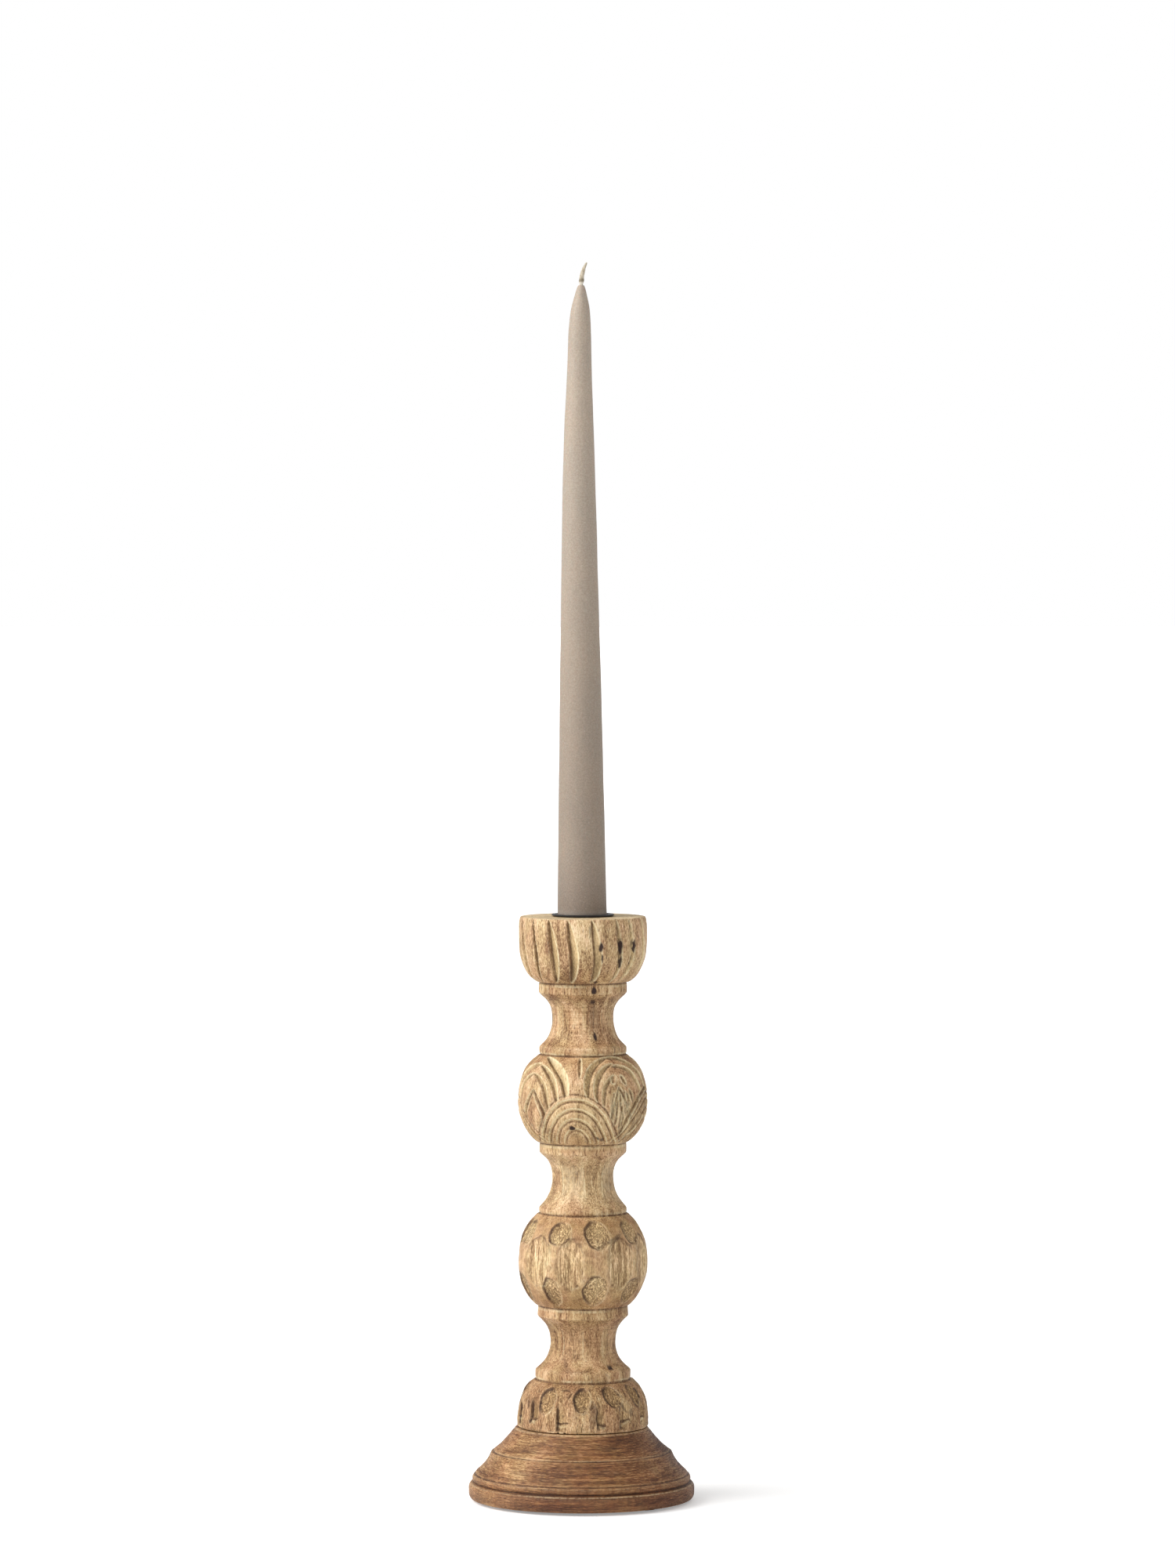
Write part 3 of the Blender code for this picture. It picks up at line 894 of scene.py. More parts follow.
    def bump(self, relief: Socket, deep: float) -> None:
        """Raise a relief on the surface, of a given depth in mm.

        Args:
            relief: the relief.
            deep: its depth in mm.
        """
        node = self.add("Bump")
        node.inputs["Distance"].default_value = deep * MM
        node.inputs["Strength"].default_value = 1.0
        self.link(relief, node.inputs["Height"])
        self.link(node.outputs["Normal"], self.shader.inputs["Normal"])

    def settle(self, roughness: object, **constants: float) -> Material:
        """Finish the material in its colour.

        Args:
            roughness: its roughness.
            constants: other values of the shader, by socket name with _ for spaces.

        Returns:
            The material.
        """
        self.feed(self.shader.inputs["Base Color"], self.colour)
        self.feed(self.shader.inputs["Roughness"], roughness)
        for name, value in constants.items():
            self.shader.inputs[name.replace("_", " ")].default_value = value
        return self.material


class Grain(Enum):
    """The way that a piece of wood's fibres run, as a share of the scale on each axis."""

    UPRIGHT = (1.0, 1.0, 0.1)
    ACROSS = (0.045, 0.12, 1.3)

    def along(self, scale: float, length: float = 1.0) -> Colour:
        """Give a scale in waves per mm, stretched along the fibres by a further length."""
        return tuple(scale * (share / length if share < 0.5 else share) for share in self.value)


@dataclass(frozen=True)
class CarvedWood:
    """Open-grained wood, carved, stained in its hollows and rubbed on its edges, with painted shadow and
    painted highlights beside its cuts and painted shade on the foot's right side.
    """

    name: str = "column_wood_upright"
    grain: Grain = Grain.UPRIGHT
    fibre_share: float = 0.9  # strength of the long fibres in its tone
    pore: Colour = (0.135, 0.062, 0.026)
    dark: Colour = (0.33, 0.19, 0.095)
    middle: Colour = (0.54, 0.355, 0.185)
    light: Colour = (0.71, 0.505, 0.295)
    pale: Colour = (0.86, 0.69, 0.45)
    cut: Colour = (0.60, 0.44, 0.225)
    ridge: Colour = (0.92, 0.80, 0.50)
    stain_and_shade: Colour = (0.105, 0.046, 0.018)
    knot_and_shadow: Colour = (0.034, 0.013, 0.007)
    patina_and_shade: Colour = (0.75, 0.645, 0.50)  # tint that handling leaves, and painted shade on the foot's right side
    low_tint: Colour = (0.82, 0.765, 0.70)  # tint that it takes on low down
    tint_from: float = 72.0  # height above the table below which the low tint is full
    tint_to: float = 104.0  # height above which there is none
    roughness: float = 0.56
    planed: tuple[tuple[float, Colour], ...] = ((0.40, (0.35, 0.205, 0.095)), (0.60, (0.63, 0.43, 0.215)))

    def tone(self, recipe: Recipe) -> Socket:
        """Mix the light and dark of the grain, about 0.5 on average.

        Args:
            recipe: the material under way.

        Returns:
            The tone.
        """
        speckle = recipe.noise(self.grain.along(1.9, 0.25), 3.0, 0.7)
        fibre = recipe.noise(self.grain.along(2.3, 1.3), 3.0, 0.65, 0.2)
        band = recipe.noise(self.grain.along(0.22, 1.2), 3.0, 0.6, 0.8)
        cloud = recipe.noise((0.055, 0.055, 0.05), 2.0, 0.5)
        return recipe.total(((speckle, 1.25), (fibre, self.fibre_share), (band, 1.0), (cloud, 0.7)), 0.55)

    def bare(self, recipe: Recipe, tone: Socket, chips: Socket) -> None:
        """Colour what the knife and the gouge have bared.

        Args:
            recipe: the material under way.
            tone: light and dark of the grain.
            chips: small slanting chips that a gouge tears out of a hollow.
        """
        clean = recipe.blend(recipe.between(tone, 0.3, 0.8), (0.74, 0.72, 0.66), (1.22, 1.22, 1.2))
        recipe.lay(recipe.mark("bared", 0.7), recipe.blend(1.0, self.cut, clean, "MULTIPLY"))
        streak = recipe.between(recipe.noise(self.grain.along(1.5, 1.2), 2.0, 0.7), 0.42, 0.58)
        recipe.tint(recipe.mark("fibres", 0.9), recipe.blend(streak, (0.54, 0.47, 0.39), (1.18, 1.19, 1.22)))
        recipe.tint(recipe.mark("torn", 0.8), recipe.blend(chips, (0.50, 0.41, 0.32), (1.40, 1.40, 1.40)))

    def build(self) -> Material:
        """Build the wood.

        Returns:
            Its material.
        """
        recipe = Recipe(self.name)
        tone = self.tone(recipe)
        chips = recipe.between(recipe.noise((1.5, 1.5, 1.0), 2.0, 0.7, 0.4), 0.42, 0.57)
        shades = (self.pore, self.dark, self.middle, self.light, self.pale)
        recipe.colour = recipe.colours(tone, tuple(zip((0.16, 0.37, 0.53, 0.70, 0.88), shades)))
        pores = recipe.specks(self.grain.along(1.05, 0.45), 0.26)
        recipe.lay(recipe.times(pores, 0.72), self.pore)
        planed = recipe.colours(recipe.noise((0.2, 0.2, 0.3), 4.0, 0.65), self.planed)
        recipe.lay(recipe.mark("smooth", 0.55), planed)
        rings = recipe.between(recipe.noise((0.05, 0.05, 1.5), 2.0, 0.6, 0.4), 0.36, 0.64)
        recipe.tint(recipe.mark("turned", 0.6), recipe.blend(rings, (0.72, 0.66, 0.6), (1.1, 1.1, 1.1)))
        hue = recipe.between(recipe.noise((0.12, 0.12, 0.05), 2.0, 0.6), 0.38, 0.62)
        recipe.tint(1.0, recipe.blend(hue, (1.05, 0.98, 0.97), (0.99, 1.0, 0.93)))
        # Handling tint, and painted shade on the foot's right side.
        recipe.tint(recipe.mark("patina_and_shade"), self.patina_and_shade)
        self.bare(recipe, tone, chips)
        recipe.tint(recipe.between(recipe.height(), self.tint_to, self.tint_from), self.low_tint)
        broken = recipe.between(recipe.noise((0.6, 0.6, 0.35), 2.0, 0.6), 0.3, 0.6, 0.45, 1.0)
        # Stain in hollows and dark lines, and painted shadow beside the cuts.
        recipe.lay(recipe.times(recipe.mark("stain_and_shade"), broken), self.stain_and_shade)
        rubbed = recipe.between(recipe.noise((0.8, 0.8, 0.4), 2.0, 0.6), 0.34, 0.58, 0.2, 0.9)
        # Rubbed edges, and a painted highlight on the left of the foot's bead.
        recipe.lay(recipe.times(recipe.mark("worn_and_lit"), rubbed), self.pale)
        # Pale ridges: rubbed edges, and painted highlights on the lit rims of cuts.
        recipe.lay(recipe.times(recipe.mark("ridge"), rubbed), self.ridge)
        # Knots, and painted shadow on the shaded walls of cuts.
        recipe.lay(recipe.mark("knot_and_shadow"), self.knot_and_shadow)
        relief = recipe.maths("SUBTRACT", tone, recipe.times(pores, 0.4))
        torn = recipe.times(recipe.times(chips, recipe.mark("torn")), 1.2)
        recipe.bump(recipe.maths("ADD", relief, torn), 0.26)
        gloss = recipe.between(tone, 0.3, 0.8, self.roughness + 0.12, self.roughness - 0.06)
        return recipe.settle(gloss, Specular_IOR_Level=0.4)


@dataclass(frozen=True)
class Wax:
    """Matt dyed candle wax, painted darker towards its butt as shade, and with a painted shadow just above
    the cup.
    """

    name: str = "wax_taupe"
    top: Colour = (0.455, 0.372, 0.294)
    bottom: Colour = (0.298, 0.236, 0.182)
    shadow: Colour = (0.225, 0.18, 0.148)
    bloom: Colour = (0.68, 0.62, 0.55)
    pale_ring: Colour = (0.62, 0.56, 0.5)

    def build(self) -> Material:
        """Build the wax.

        Returns:
            Its material.
        """
        recipe = Recipe(self.name)
        height = recipe.height()
        rise = recipe.between(height, CUP_TOP, CANDLE_TIP - 30.0)
        # Painted shade: the wax darkens from near the tip down towards the cup.
        recipe.colour = recipe.blend(rise, self.bottom, self.top)
        recipe.lay(recipe.between(height, CUP_TOP + 32.0, CUP_TOP + 2.0, 0.0, 0.6), self.shadow)
        cloud = recipe.between(recipe.noise((0.09, 0.09, 0.035), 3.0, 0.55), 0.3, 0.7)
        recipe.tint(cloud, (0.93, 0.95, 0.97))
        speckle = recipe.noise((1.3, 1.3, 1.6), 3.0, 0.75)
        grains = recipe.blend(recipe.between(speckle, 0.34, 0.66), (0.86, 0.845, 0.83), (1.09, 1.09, 1.09))
        recipe.tint(0.9, grains)
        recipe.lay(recipe.times(recipe.specks((0.42, 0.42, 0.36), 0.16), 0.14), self.bloom)
        recipe.lay(recipe.mark("pale_ring", 0.7), self.pale_ring)
        recipe.bump(recipe.total(((speckle, 0.8), (recipe.noise((0.25, 0.25, 0.08)), 1.2))), 0.10)
        gloss = recipe.between(speckle, 0.3, 0.7, 0.62, 0.5)
        return recipe.settle(gloss, Specular_IOR_Level=0.35, Subsurface_Weight=0.12, Subsurface_Scale=0.002)


@dataclass(frozen=True)
class BlackMetal:
    """Pressed steel with a thin satin black coat, rubbed on its bead."""

    name: str = "cup_black"
    coat: Colour = (0.010, 0.011, 0.012)
    rubbed: Colour = (0.075, 0.078, 0.08)
    dust: Colour = (0.045, 0.042, 0.038)

    def build(self) -> Material:
        """Build the metal.

        Returns:
            Its material.
        """
        recipe = Recipe(self.name)
        scratches = recipe.noise((0.9, 0.9, 0.25), 3.0, 0.6)
        wear = recipe.times(recipe.mark("worn_and_lit"), recipe.between(scratches, 0.42, 0.68, 0.1, 0.6))
        recipe.colour = recipe.blend(wear, self.coat, self.rubbed)
        recipe.lay(recipe.between(recipe.noise((0.35, 0.35, 0.35), 3.0), 0.5, 0.8, 0.0, 0.25), self.dust)
        recipe.bump(scratches, 0.03)
        return recipe.settle(recipe.between(scratches, 0.3, 0.7, 0.3, 0.48), Metallic=0.2)


@dataclass(frozen=True)
class ScrewSteel:
    """Zinc-plated steel, dulled in its thread."""

    name: str = "screw_zinc"
    dull: Colour = (0.36, 0.35, 0.33)
    plain: Colour = (0.60, 0.60, 0.58)
    bright: Colour = (0.7, 0.7, 0.69)

    def build(self) -> Material:
        """Build the steel.

        Returns:
            Its material.
        """
        recipe = Recipe(self.name)
        cloud = recipe.noise((0.8, 0.8, 0.8), 3.0, 0.6)
        recipe.colour = recipe.colours(cloud, ((0.3, self.dull), (0.6, self.plain), (0.8, self.bright)))
        recipe.lay(recipe.mark("stain_and_shade", 0.8), (0.10, 0.085, 0.07))
        recipe.lay(recipe.mark("worn_and_lit", 0.5), (0.8, 0.8, 0.79))
        recipe.bump(recipe.noise((2.0, 2.0, 0.6)), 0.02)
        return recipe.settle(recipe.between(cloud, 0.3, 0.7, 0.28, 0.42), Metallic=1.0)


@dataclass(frozen=True)
class Felt:
    """Pressed brown felt."""

    name: str = "felt_brown"
    deep: Colour = (0.022, 0.016, 0.012)
    plain: Colour = (0.06, 0.047, 0.038)
    hairs: Colour = (0.12, 0.1, 0.085)

    def build(self) -> Material:
        """Build the felt.

        Returns:
            Its material.
        """
        recipe = Recipe(self.name)
        hair = recipe.noise((2.2, 2.2, 2.2), 4.0, 0.7, 1.2)
        cloud = recipe.noise((0.4, 0.4, 0.4))
        tone = recipe.total(((hair, 1.2), (cloud, 0.6)))
        recipe.colour = recipe.colours(tone, ((0.25, self.deep), (0.6, self.plain), (0.85, self.hairs)))
        recipe.bump(hair, 0.2)
        gloss = recipe.between(cloud, 0.3, 0.7, 0.88, 0.98)
        return recipe.settle(gloss, Sheen_Weight=0.4, Sheen_Roughness=0.6)


@dataclass(frozen=True)
class Cotton:
    """Braided cotton, raw at its end and darker where wax has soaked in."""

    name: str = "wick_cotton"
    shade: Colour = (0.38, 0.31, 0.22)
    plain: Colour = (0.56, 0.49, 0.375)
    pale: Colour = (0.72, 0.65, 0.52)

    def build(self) -> Material:
        """Build the cotton.

        Returns:
            Its material.
        """
        recipe = Recipe(self.name)
        thread = recipe.noise((3.0, 3.0, 1.0), 3.0, 0.65)
        recipe.colour = recipe.colours(thread, ((0.3, self.shade), (0.55, self.plain), (0.8, self.pale)))
        recipe.lay(recipe.mark("soaked", 0.8), (0.16, 0.125, 0.075))
        recipe.lay(recipe.mark("stain_and_shade", 0.7), (0.2, 0.15, 0.08))
        recipe.lay(recipe.mark("crumb"), (0.72, 0.66, 0.56))
        recipe.bump(thread, 0.08)
        return recipe.settle(recipe.between(thread, 0.3, 0.7, 0.95, 0.8), Sheen_Weight=0.15)


@dataclass(frozen=True)
class Paper:
    """The studio's plain pale ground, with a faint tooth."""

    name: str = "studio_ground"
    shade: Colour = (0.938, 0.938, 0.935)
    light: Colour = (0.942, 0.942, 0.939)
    glow: float = 0.3  # seen by the camera only

    def build(self) -> Material:
        """Build the ground.

        Returns:
            Its material.
        """
        recipe = Recipe(self.name)
        tooth = recipe.between(recipe.noise((0.02, 0.02, 0.02)), 0.3, 0.7)
        recipe.colour = recipe.blend(tooth, self.shade, self.light)
        seen = recipe.add("LightPath").outputs["Is Camera Ray"]
        recipe.feed(recipe.shader.inputs["Emission Strength"], recipe.times(seen, self.glow))
        return recipe.settle(0.9, Specular_IOR_Level=0.1)


# ---- The candlestick's pieces ----


@dataclass
class Foot:
    """The round foot: face-turned, grain across, with a bead, two coves and a step."""

    mortise_radius: float = 10.3
    mortise_floor: float = 16.4
    screw_hole_radius: float = 2.8
    counterbore_radius: float = 6.5
    counterbore_depth: float = 4.5
    sides: int = 320
    lean: float = -0.6  # how far the foot stands to the left of the column's axis
    flaws: tuple[tuple[float, ...], ...] = (
        (47.0, 17.5, 5.0, 2.4, 0.2, 60.0), (20.0, 26.2, 6.0, 1.8, 0.34), (17.0, 16.5, 6.5, 2.2, 0.32),
        (8.0, 13.0, 12.0, 1.2, 0.25), (-20.0, 13.8, 10.0, 0.8, 0.3), (52.0, 25.5, 4.0, 2.0, 0.25),
        (30.0, 3.4, 1.6, 0.7, 0.5), (-38.0, 15.0, 7.0, 1.4, 0.18), (-12.0, 12.5, 9.0, 1.0, 0.22),
        (118.0, 22.0, 6.0, 2.0, 0.3), (-140.0, 14.0, 8.0, 1.6, 0.28),
    )

    def turn(self) -> Grid:
        """Turn the foot, from its flat top round to the mortise.

        Returns:
            Its grid.
        """
        mortise, floor, hole = self.mortise_radius, self.mortise_floor, self.screw_hole_radius
        legs = (
            (2.5, (29.5, FOOT_TOP)),
            (0.55, (30.6, 30.7), (33.2, 27.5), (36.1, 24.3), (39.3, 21.6)),
            (0.25, (39.5, 21.1)),
            (0.25, (40.5, 20.8)),
            (0.55, (41.0, 19.6), (42.2, 17.3), (43.9, 15.1), (45.8, 13.2), (47.5, 11.6)),
            (0.25, (47.7, 10.9)),
            (0.25, (48.4, 10.6)),
            (0.3, (48.9, 9.6), (48.8, 8.3)),
            (0.3, (48.3, 7.6)),
            (0.3, (49.6, 7.1)),
            (0.5, (50.4, 6.0), (50.6, 3.4), (50.35, 1.2), (49.5, 0.0)),
            (4.0, (self.counterbore_radius, 0.0)),
            (1.5, (self.counterbore_radius, self.counterbore_depth)),
            (1.5, (hole, self.counterbore_depth)),
            (3.0, (hole, floor)),
            (2.5, (mortise, floor)),
            (3.0, (mortise, FOOT_TOP)),
        )
        return spin((mortise, FOOT_TOP), legs, self.sides, 0.2, closed=True)

    def turning_marks(self, grid: Grid) -> None:
        """Leave the fine rings, the dark lines and the rubbed edges of the turning.

        Args:
            grid: the foot's grid.
        """
        outer = grid.outer_rows(0.0, FOOT_TOP)
        heights = np.random.default_rng(31).uniform(9.0, 31.0, 26)
        rings = sum(0.07 * grid.ring(height, 0.22) for height in heights)
        grid.shift(rings * outer * (1 + mottle(grid, 14.0, 3.0, 5)))
        dark = ((21.15, 0.24, 1.0), (27.6, 0.25, 0.3), (24.4, 0.25, 0.3), (10.95, 0.28, 1.0), (7.6, 0.5, 1.0),
                (16.1, 0.3, 0.35), (12.9, 0.3, 0.35))
        rubbed = ((21.6, 0.2, 0.5), (31.6, 0.35, 0.6), (10.2, 0.22, 0.3), (6.8, 0.25, 0.7))
        stained = 0.75 + 0.45 * mottle(grid, 9.0, 2.0, 17)
        worn_and_lit = 0.6 + 0.5 * mottle(grid, 8.0, 2.0, 18)
        for mark, lines, uneven in (("stain_and_shade", dark, stained), ("ridge", rubbed, worn_and_lit)):
            for height, width, strength in lines:
                grid.mark(mark, strength * grid.ring(height, width) * outer * uneven)

    def build(self, wood: Material) -> None:
        """Turn the foot and dress it.

        Args:
            wood: its finish.
        """
        grid = self.turn()
        outer = grid.outer_rows(0.5, FOOT_TOP - 0.5)
        grid.shift(0.10 * mottle(grid, 16.0, 7.0, 3) * outer)
        self.turning_marks(grid)
        note_wear(grid, 0.12, 0.1)
        # Painted shade on the foot's right side, away from the lamp, laid with the patina tint.
        angle, low = grid.angle[None, :], (grid.height < 8.5)[:, None]
        darker = limit((angle + 34.0 + 22.0 * low) / 38.0) * limit((170.0 - angle) / 60.0)
        uneven = 0.72 + 0.28 * low + 0.35 * mottle(grid, 16.0, 9.0, 44) * (1 - 0.7 * low)
        grid.mark("patina_and_shade", darker * uneven * outer)
        # Painted shade on the bead's front right, and a painted highlight on its left side, towards the lamp.
        bead = (grid.height < 7.4)[:, None] * outer
        shaded = limit((angle + 22.0) / 30.0) * limit((78.0 - angle) / 24.0)
        grid.mark("stain_and_shade", 0.26 * shaded * bead * (1 + 0.4 * mottle(grid, 12.0, 5.0, 45)))
        grid.mark("worn_and_lit", 0.2 * limit((-32.0 - angle) / 16.0) * limit((angle + 110.0) / 20.0) * bead)
        for flaw in self.flaws:
            Knot(*flaw).stain_and_shade(grid)
        axis = ((self.lean, 0.0), (self.lean, 31.0))
        make_piece("foot_turned", grid, wood, STAND, "foot", axis)


@dataclass
class Column:
    """The carved spindle: bell, three necks, two balls and a fluted bowl, in one length of wood."""

    sides: int = 448
    carved_step: float = 0.4
    neck_step: float = 1.3
    tenon_radius: float = 10.0
    socket_radius: float = 12.4
    socket_floor: float = 239.5
    bell_base: float = FOOT_TOP + TOUCH_GAP
    flutes: int = 18
    # Knots, cracks and streaks; the broad grey patches at 22° on the upper neck and 9.5° on the bell are
    # painted shade.
    flaws: tuple[tuple[float, ...], ...] = (
        (16.6, 248.6, 1.05, 2.5, 1.0, -3.0), (18.2, 243.4, 0.5, 2.6, 0.95, -6.0),
        (36.8, 248.4, 0.8, 3.4, 1.0, -6.0), (38.0, 240.8, 0.55, 2.8, 0.95),
        (53.6, 248.6, 0.8, 4.0, 1.0, -2.0), (51.0, 250.0, 0.5, 2.4, 0.6, 10.0),
        (35.0, 250.6, 0.6, 1.6, 0.6, 25.0), (51.0, 241.6, 0.6, 3.0, 0.9, 12.0),
        (6.5, 256.0, 0.7, 3.0, 0.45), (15.0, 232.6, 0.9, 1.4, 0.9, 15.0), (14.4, 228.6, 1.3, 1.9, 1.0),
        (15.6, 223.4, 1.5, 1.2, 0.9, 20.0), (17.0, 217.0, 1.3, 5.5, 0.4, 4.0),
        (22.0, 214.0, 3.2, 8.5, 0.3, 3.0), (21.0, 207.6, 0.8, 2.4, 1.0, 0.0), (-9.8, 168.0, 1.5, 1.0, 1.0),
        (16.0, 163.2, 0.8, 1.6, 0.8, -30.0), (21.0, 162.6, 1.2, 1.3, 0.7, 20.0),
        (-60.0, 177.0, 0.6, 2.6, 0.7, 8.0), (33.0, 118.8, 4.6, 1.1, 0.5, -24.0),
        (19.0, 116.0, 3.4, 1.3, 0.32, -35.0), (48.0, 120.0, 1.0, 4.4, 0.35, -20.0),
        (-36.0, 92.6, 1.6, 3.0, 0.35, -20.0), (40.5, 59.7, 1.5, 1.5, 1.0),
        (20.0, 216.5, 0.4, 8.0, 0.55, 3.0), (24.0, 50.0, 1.0, 1.0, 0.7), (9.5, 39.5, 2.2, 6.0, 0.36, 3.0),
        (-18.0, 51.0, 2.4, 0.7, 0.55), (40.0, 43.6, 3.4, 0.9, 0.5, 50.0), (48.0, 41.0, 1.4, 2.2, 0.45),
        (-58.0, 44.0, 2.6, 1.4, 0.25, 30.0), (-8.0, 58.6, 6.0, 0.9, 0.3),
        (-24.0, 60.6, 5.0, 1.0, 0.25, 60.0), (66.0, 48.6, 0.7, 3.4, 0.85, -22.0),
        (36.4, 49.4, 0.45, 2.6, 0.6, -24.0), (35.0, 46.2, 0.4, 1.8, 0.5, 30.0),
        (150.0, 214.0, 1.6, 5.0, 0.4), (-120.0, 66.0, 1.5, 2.0, 0.8), (110.0, 104.0, 1.3, 2.6, 0.5, 20.0),
    )

    def turn(self) -> Grid:
        """Turn the spindle, from the socket's floor over the rim and down to the tenon.

        Returns:
            Its grid.
        """
        base, carved, neck = self.bell_base, self.carved_step, self.neck_step
        legs = (
            (3.0, (self.socket_radius, self.socket_floor)),
            (4.0, (self.socket_radius, COLUMN_TOP)),
            (1.2, (27.9, COLUMN_TOP)),
            (carved, (28.3, 259.6), (28.7, 254.0), (28.55, 248.5), (28.0, 243.2), (26.4, 238.4),
                     (24.0, 234.4),
             (19.9, 231.2)),
            (0.3, (19.75, 230.9)),
            (0.7, (19.75, 227.0)),
            (neck, (18.9, 226.0), (16.6, 223.9), (14.5, 220.7), (13.78, 215.5), (14.5, 210.2), (16.2, 206.0),
             (19.2, 202.9)),
            (0.4, (19.5, 202.5)),
            (0.7, (19.5, 199.6)),
            (carved, (20.4, 198.6), (23.0, 196.5), (25.6, 193.3), (28.0, 187.0), (29.0, 179.6), (28.0, 171.2),
             (25.1, 164.9), (22.5, 161.7), (19.7, 159.5)),
            (0.3, (19.45, 159.0)),
            (0.7, (19.4, 155.4)),
            (neck, (18.3, 154.3), (16.1, 152.2), (14.1, 148.0), (13.7, 143.7), (14.4, 139.0), (15.9, 135.3),
             (19.0, 131.1)),
            (0.4, (19.6, 130.5)),
            (0.6, (19.6, 128.4)),
            (carved, (21.1, 126.9), (24.1, 123.7), (27.5, 117.35), (28.95, 109.5), (28.95, 103.5),
                     (27.3, 96.2),
             (23.8, 89.9), (20.6, 86.5)),
            (0.3, (20.2, 86.0)),
            (0.7, (20.4, 82.0)),
            (neck, (18.6, 80.4), (16.0, 77.2), (14.7, 71.9), (15.1, 66.2), (16.8, 62.4), (19.6, 59.2),
                   (21.0, 58.0)),
            (0.4, (21.35, 57.5)),
            (0.7, (21.3, 54.0)),
            (0.3, (21.4, 53.6)),
            (carved, (24.0, 51.8), (26.4, 48.8), (28.0, 44.5), (29.1, 38.6), (29.25, base + 0.5)),
            (0.4, (28.8, base)),
            (3.0, (self.tenon_radius, base)),
            (4.0, (self.tenon_radius, TENON_BASE)),
            (3.0, (0.0, TENON_BASE)),
        )
        return spin((0.0, self.socket_floor), legs, self.sides, 0.26)

    def carve_bowl(self, grid: Grid) -> None:
        """Cut the leaf-shaped flutes of the bowl, each with a straight edge near the rim.

        Args:
            grid: the spindle's grid.
        """
        placed = {
            -3: (-51.6, 1.5, 2.0),
            -2: (-33.2, 3.7, 0.6),
            -1: (-14.4, 3.7, 0.4),
            0: (7.6, 3.6, 0.0),
            1: (31.6, 2.2, 0.4),
            2: (46.4, 2.6, 2.6),
        }  # angle, width, and degrees that the lower end sweeps back
        rng = np.random.default_rng(8)
        for number in range(-3, self.flutes - 3):
            even = 7.6 + number * 360.0 / self.flutes
            drawn = (even + rng.uniform(-1.8, 1.8), rng.uniform(2.6, 3.7), 1.2)
            angle, width, curl = placed.get(number, drawn)
            path = ((angle, 260.0), (angle + 1.4, 252.0), (angle + 3.2, 244.0), (angle + 3.0 - curl, 237.0),
                    (angle + 1.4 - 1.6 * curl, 232.8))
            Stroke(path, width, 1.7, Side.RIGHT, 0.17, (0.2, 0.25), 0.05, 0.8, 1.0, 1.7).cut(grid)

    def plain_leaf(self) -> list[Stroke]:
        """Lay out a leaf with one smooth pointed tongue, and three long strokes to its right.

        Returns:
            The strokes of a leaf in front.
        """
        sweeps = [
            Stroke(((3.0, 198.0), (12.0, 196.3), (21.5, 193.2), (27.8, 189.8), (31.2, 186.2), (33.4, 182.0)),
                   4.0, 1.8, Side.RIGHT, 0.18, (0.4, 0.5), 0.0, 1.0, 1.0, pale=0.65),
            Stroke(((0.5, 195.2), (7.0, 193.6), (12.5, 191.7), (19.3, 188.0), (23.0, 184.0), (25.6, 179.6)),
                   2.7, 1.4, Side.RIGHT, 0.22, (0.3, 0.5), 0.1, 0.95, 1.0, pale=0.3),
            Stroke(((-4.9, 191.3), (2.0, 189.6), (7.0, 187.6), (12.0, 184.2), (14.4, 180.8), (16.8, 176.6)),
                   2.3, 1.2, Side.RIGHT, 0.25, (0.3, 0.5), 0.1, 0.85, 1.0),
        ]
        tongue = Stroke(((0.3, 184.2), (4.0, 181.0), (8.0, 177.6), (11.6, 173.6), (9.6, 168.6), (4.0, 164.0)),
                        2.0, 1.2, Side.RIGHT, 0.4, (0.4, 0.2), 0.5, 1.0, 0.6, lip=0.6)
        shoulder = Stroke(((-6.5, 191.0), (-15.0, 188.0), (-21.0, 183.6), (-24.4, 178.0), (-24.0, 171.0)),
                          2.4, 1.1, Side.LEFT, 0.3, (0.4, 0.5), 0.1, 0.6, 0.9)
        outer = Stroke(((-2.0, 195.6), (-12.0, 194.2), (-22.0, 190.8), (-29.0, 186.4), (-32.0, 181.6)),
                       2.6, 1.2, Side.LEFT, 0.3, (0.4, 0.5), 0.1, 0.6, 0.9)
        return [*sweeps, tongue, tongue.mirrored(), shoulder, outer]

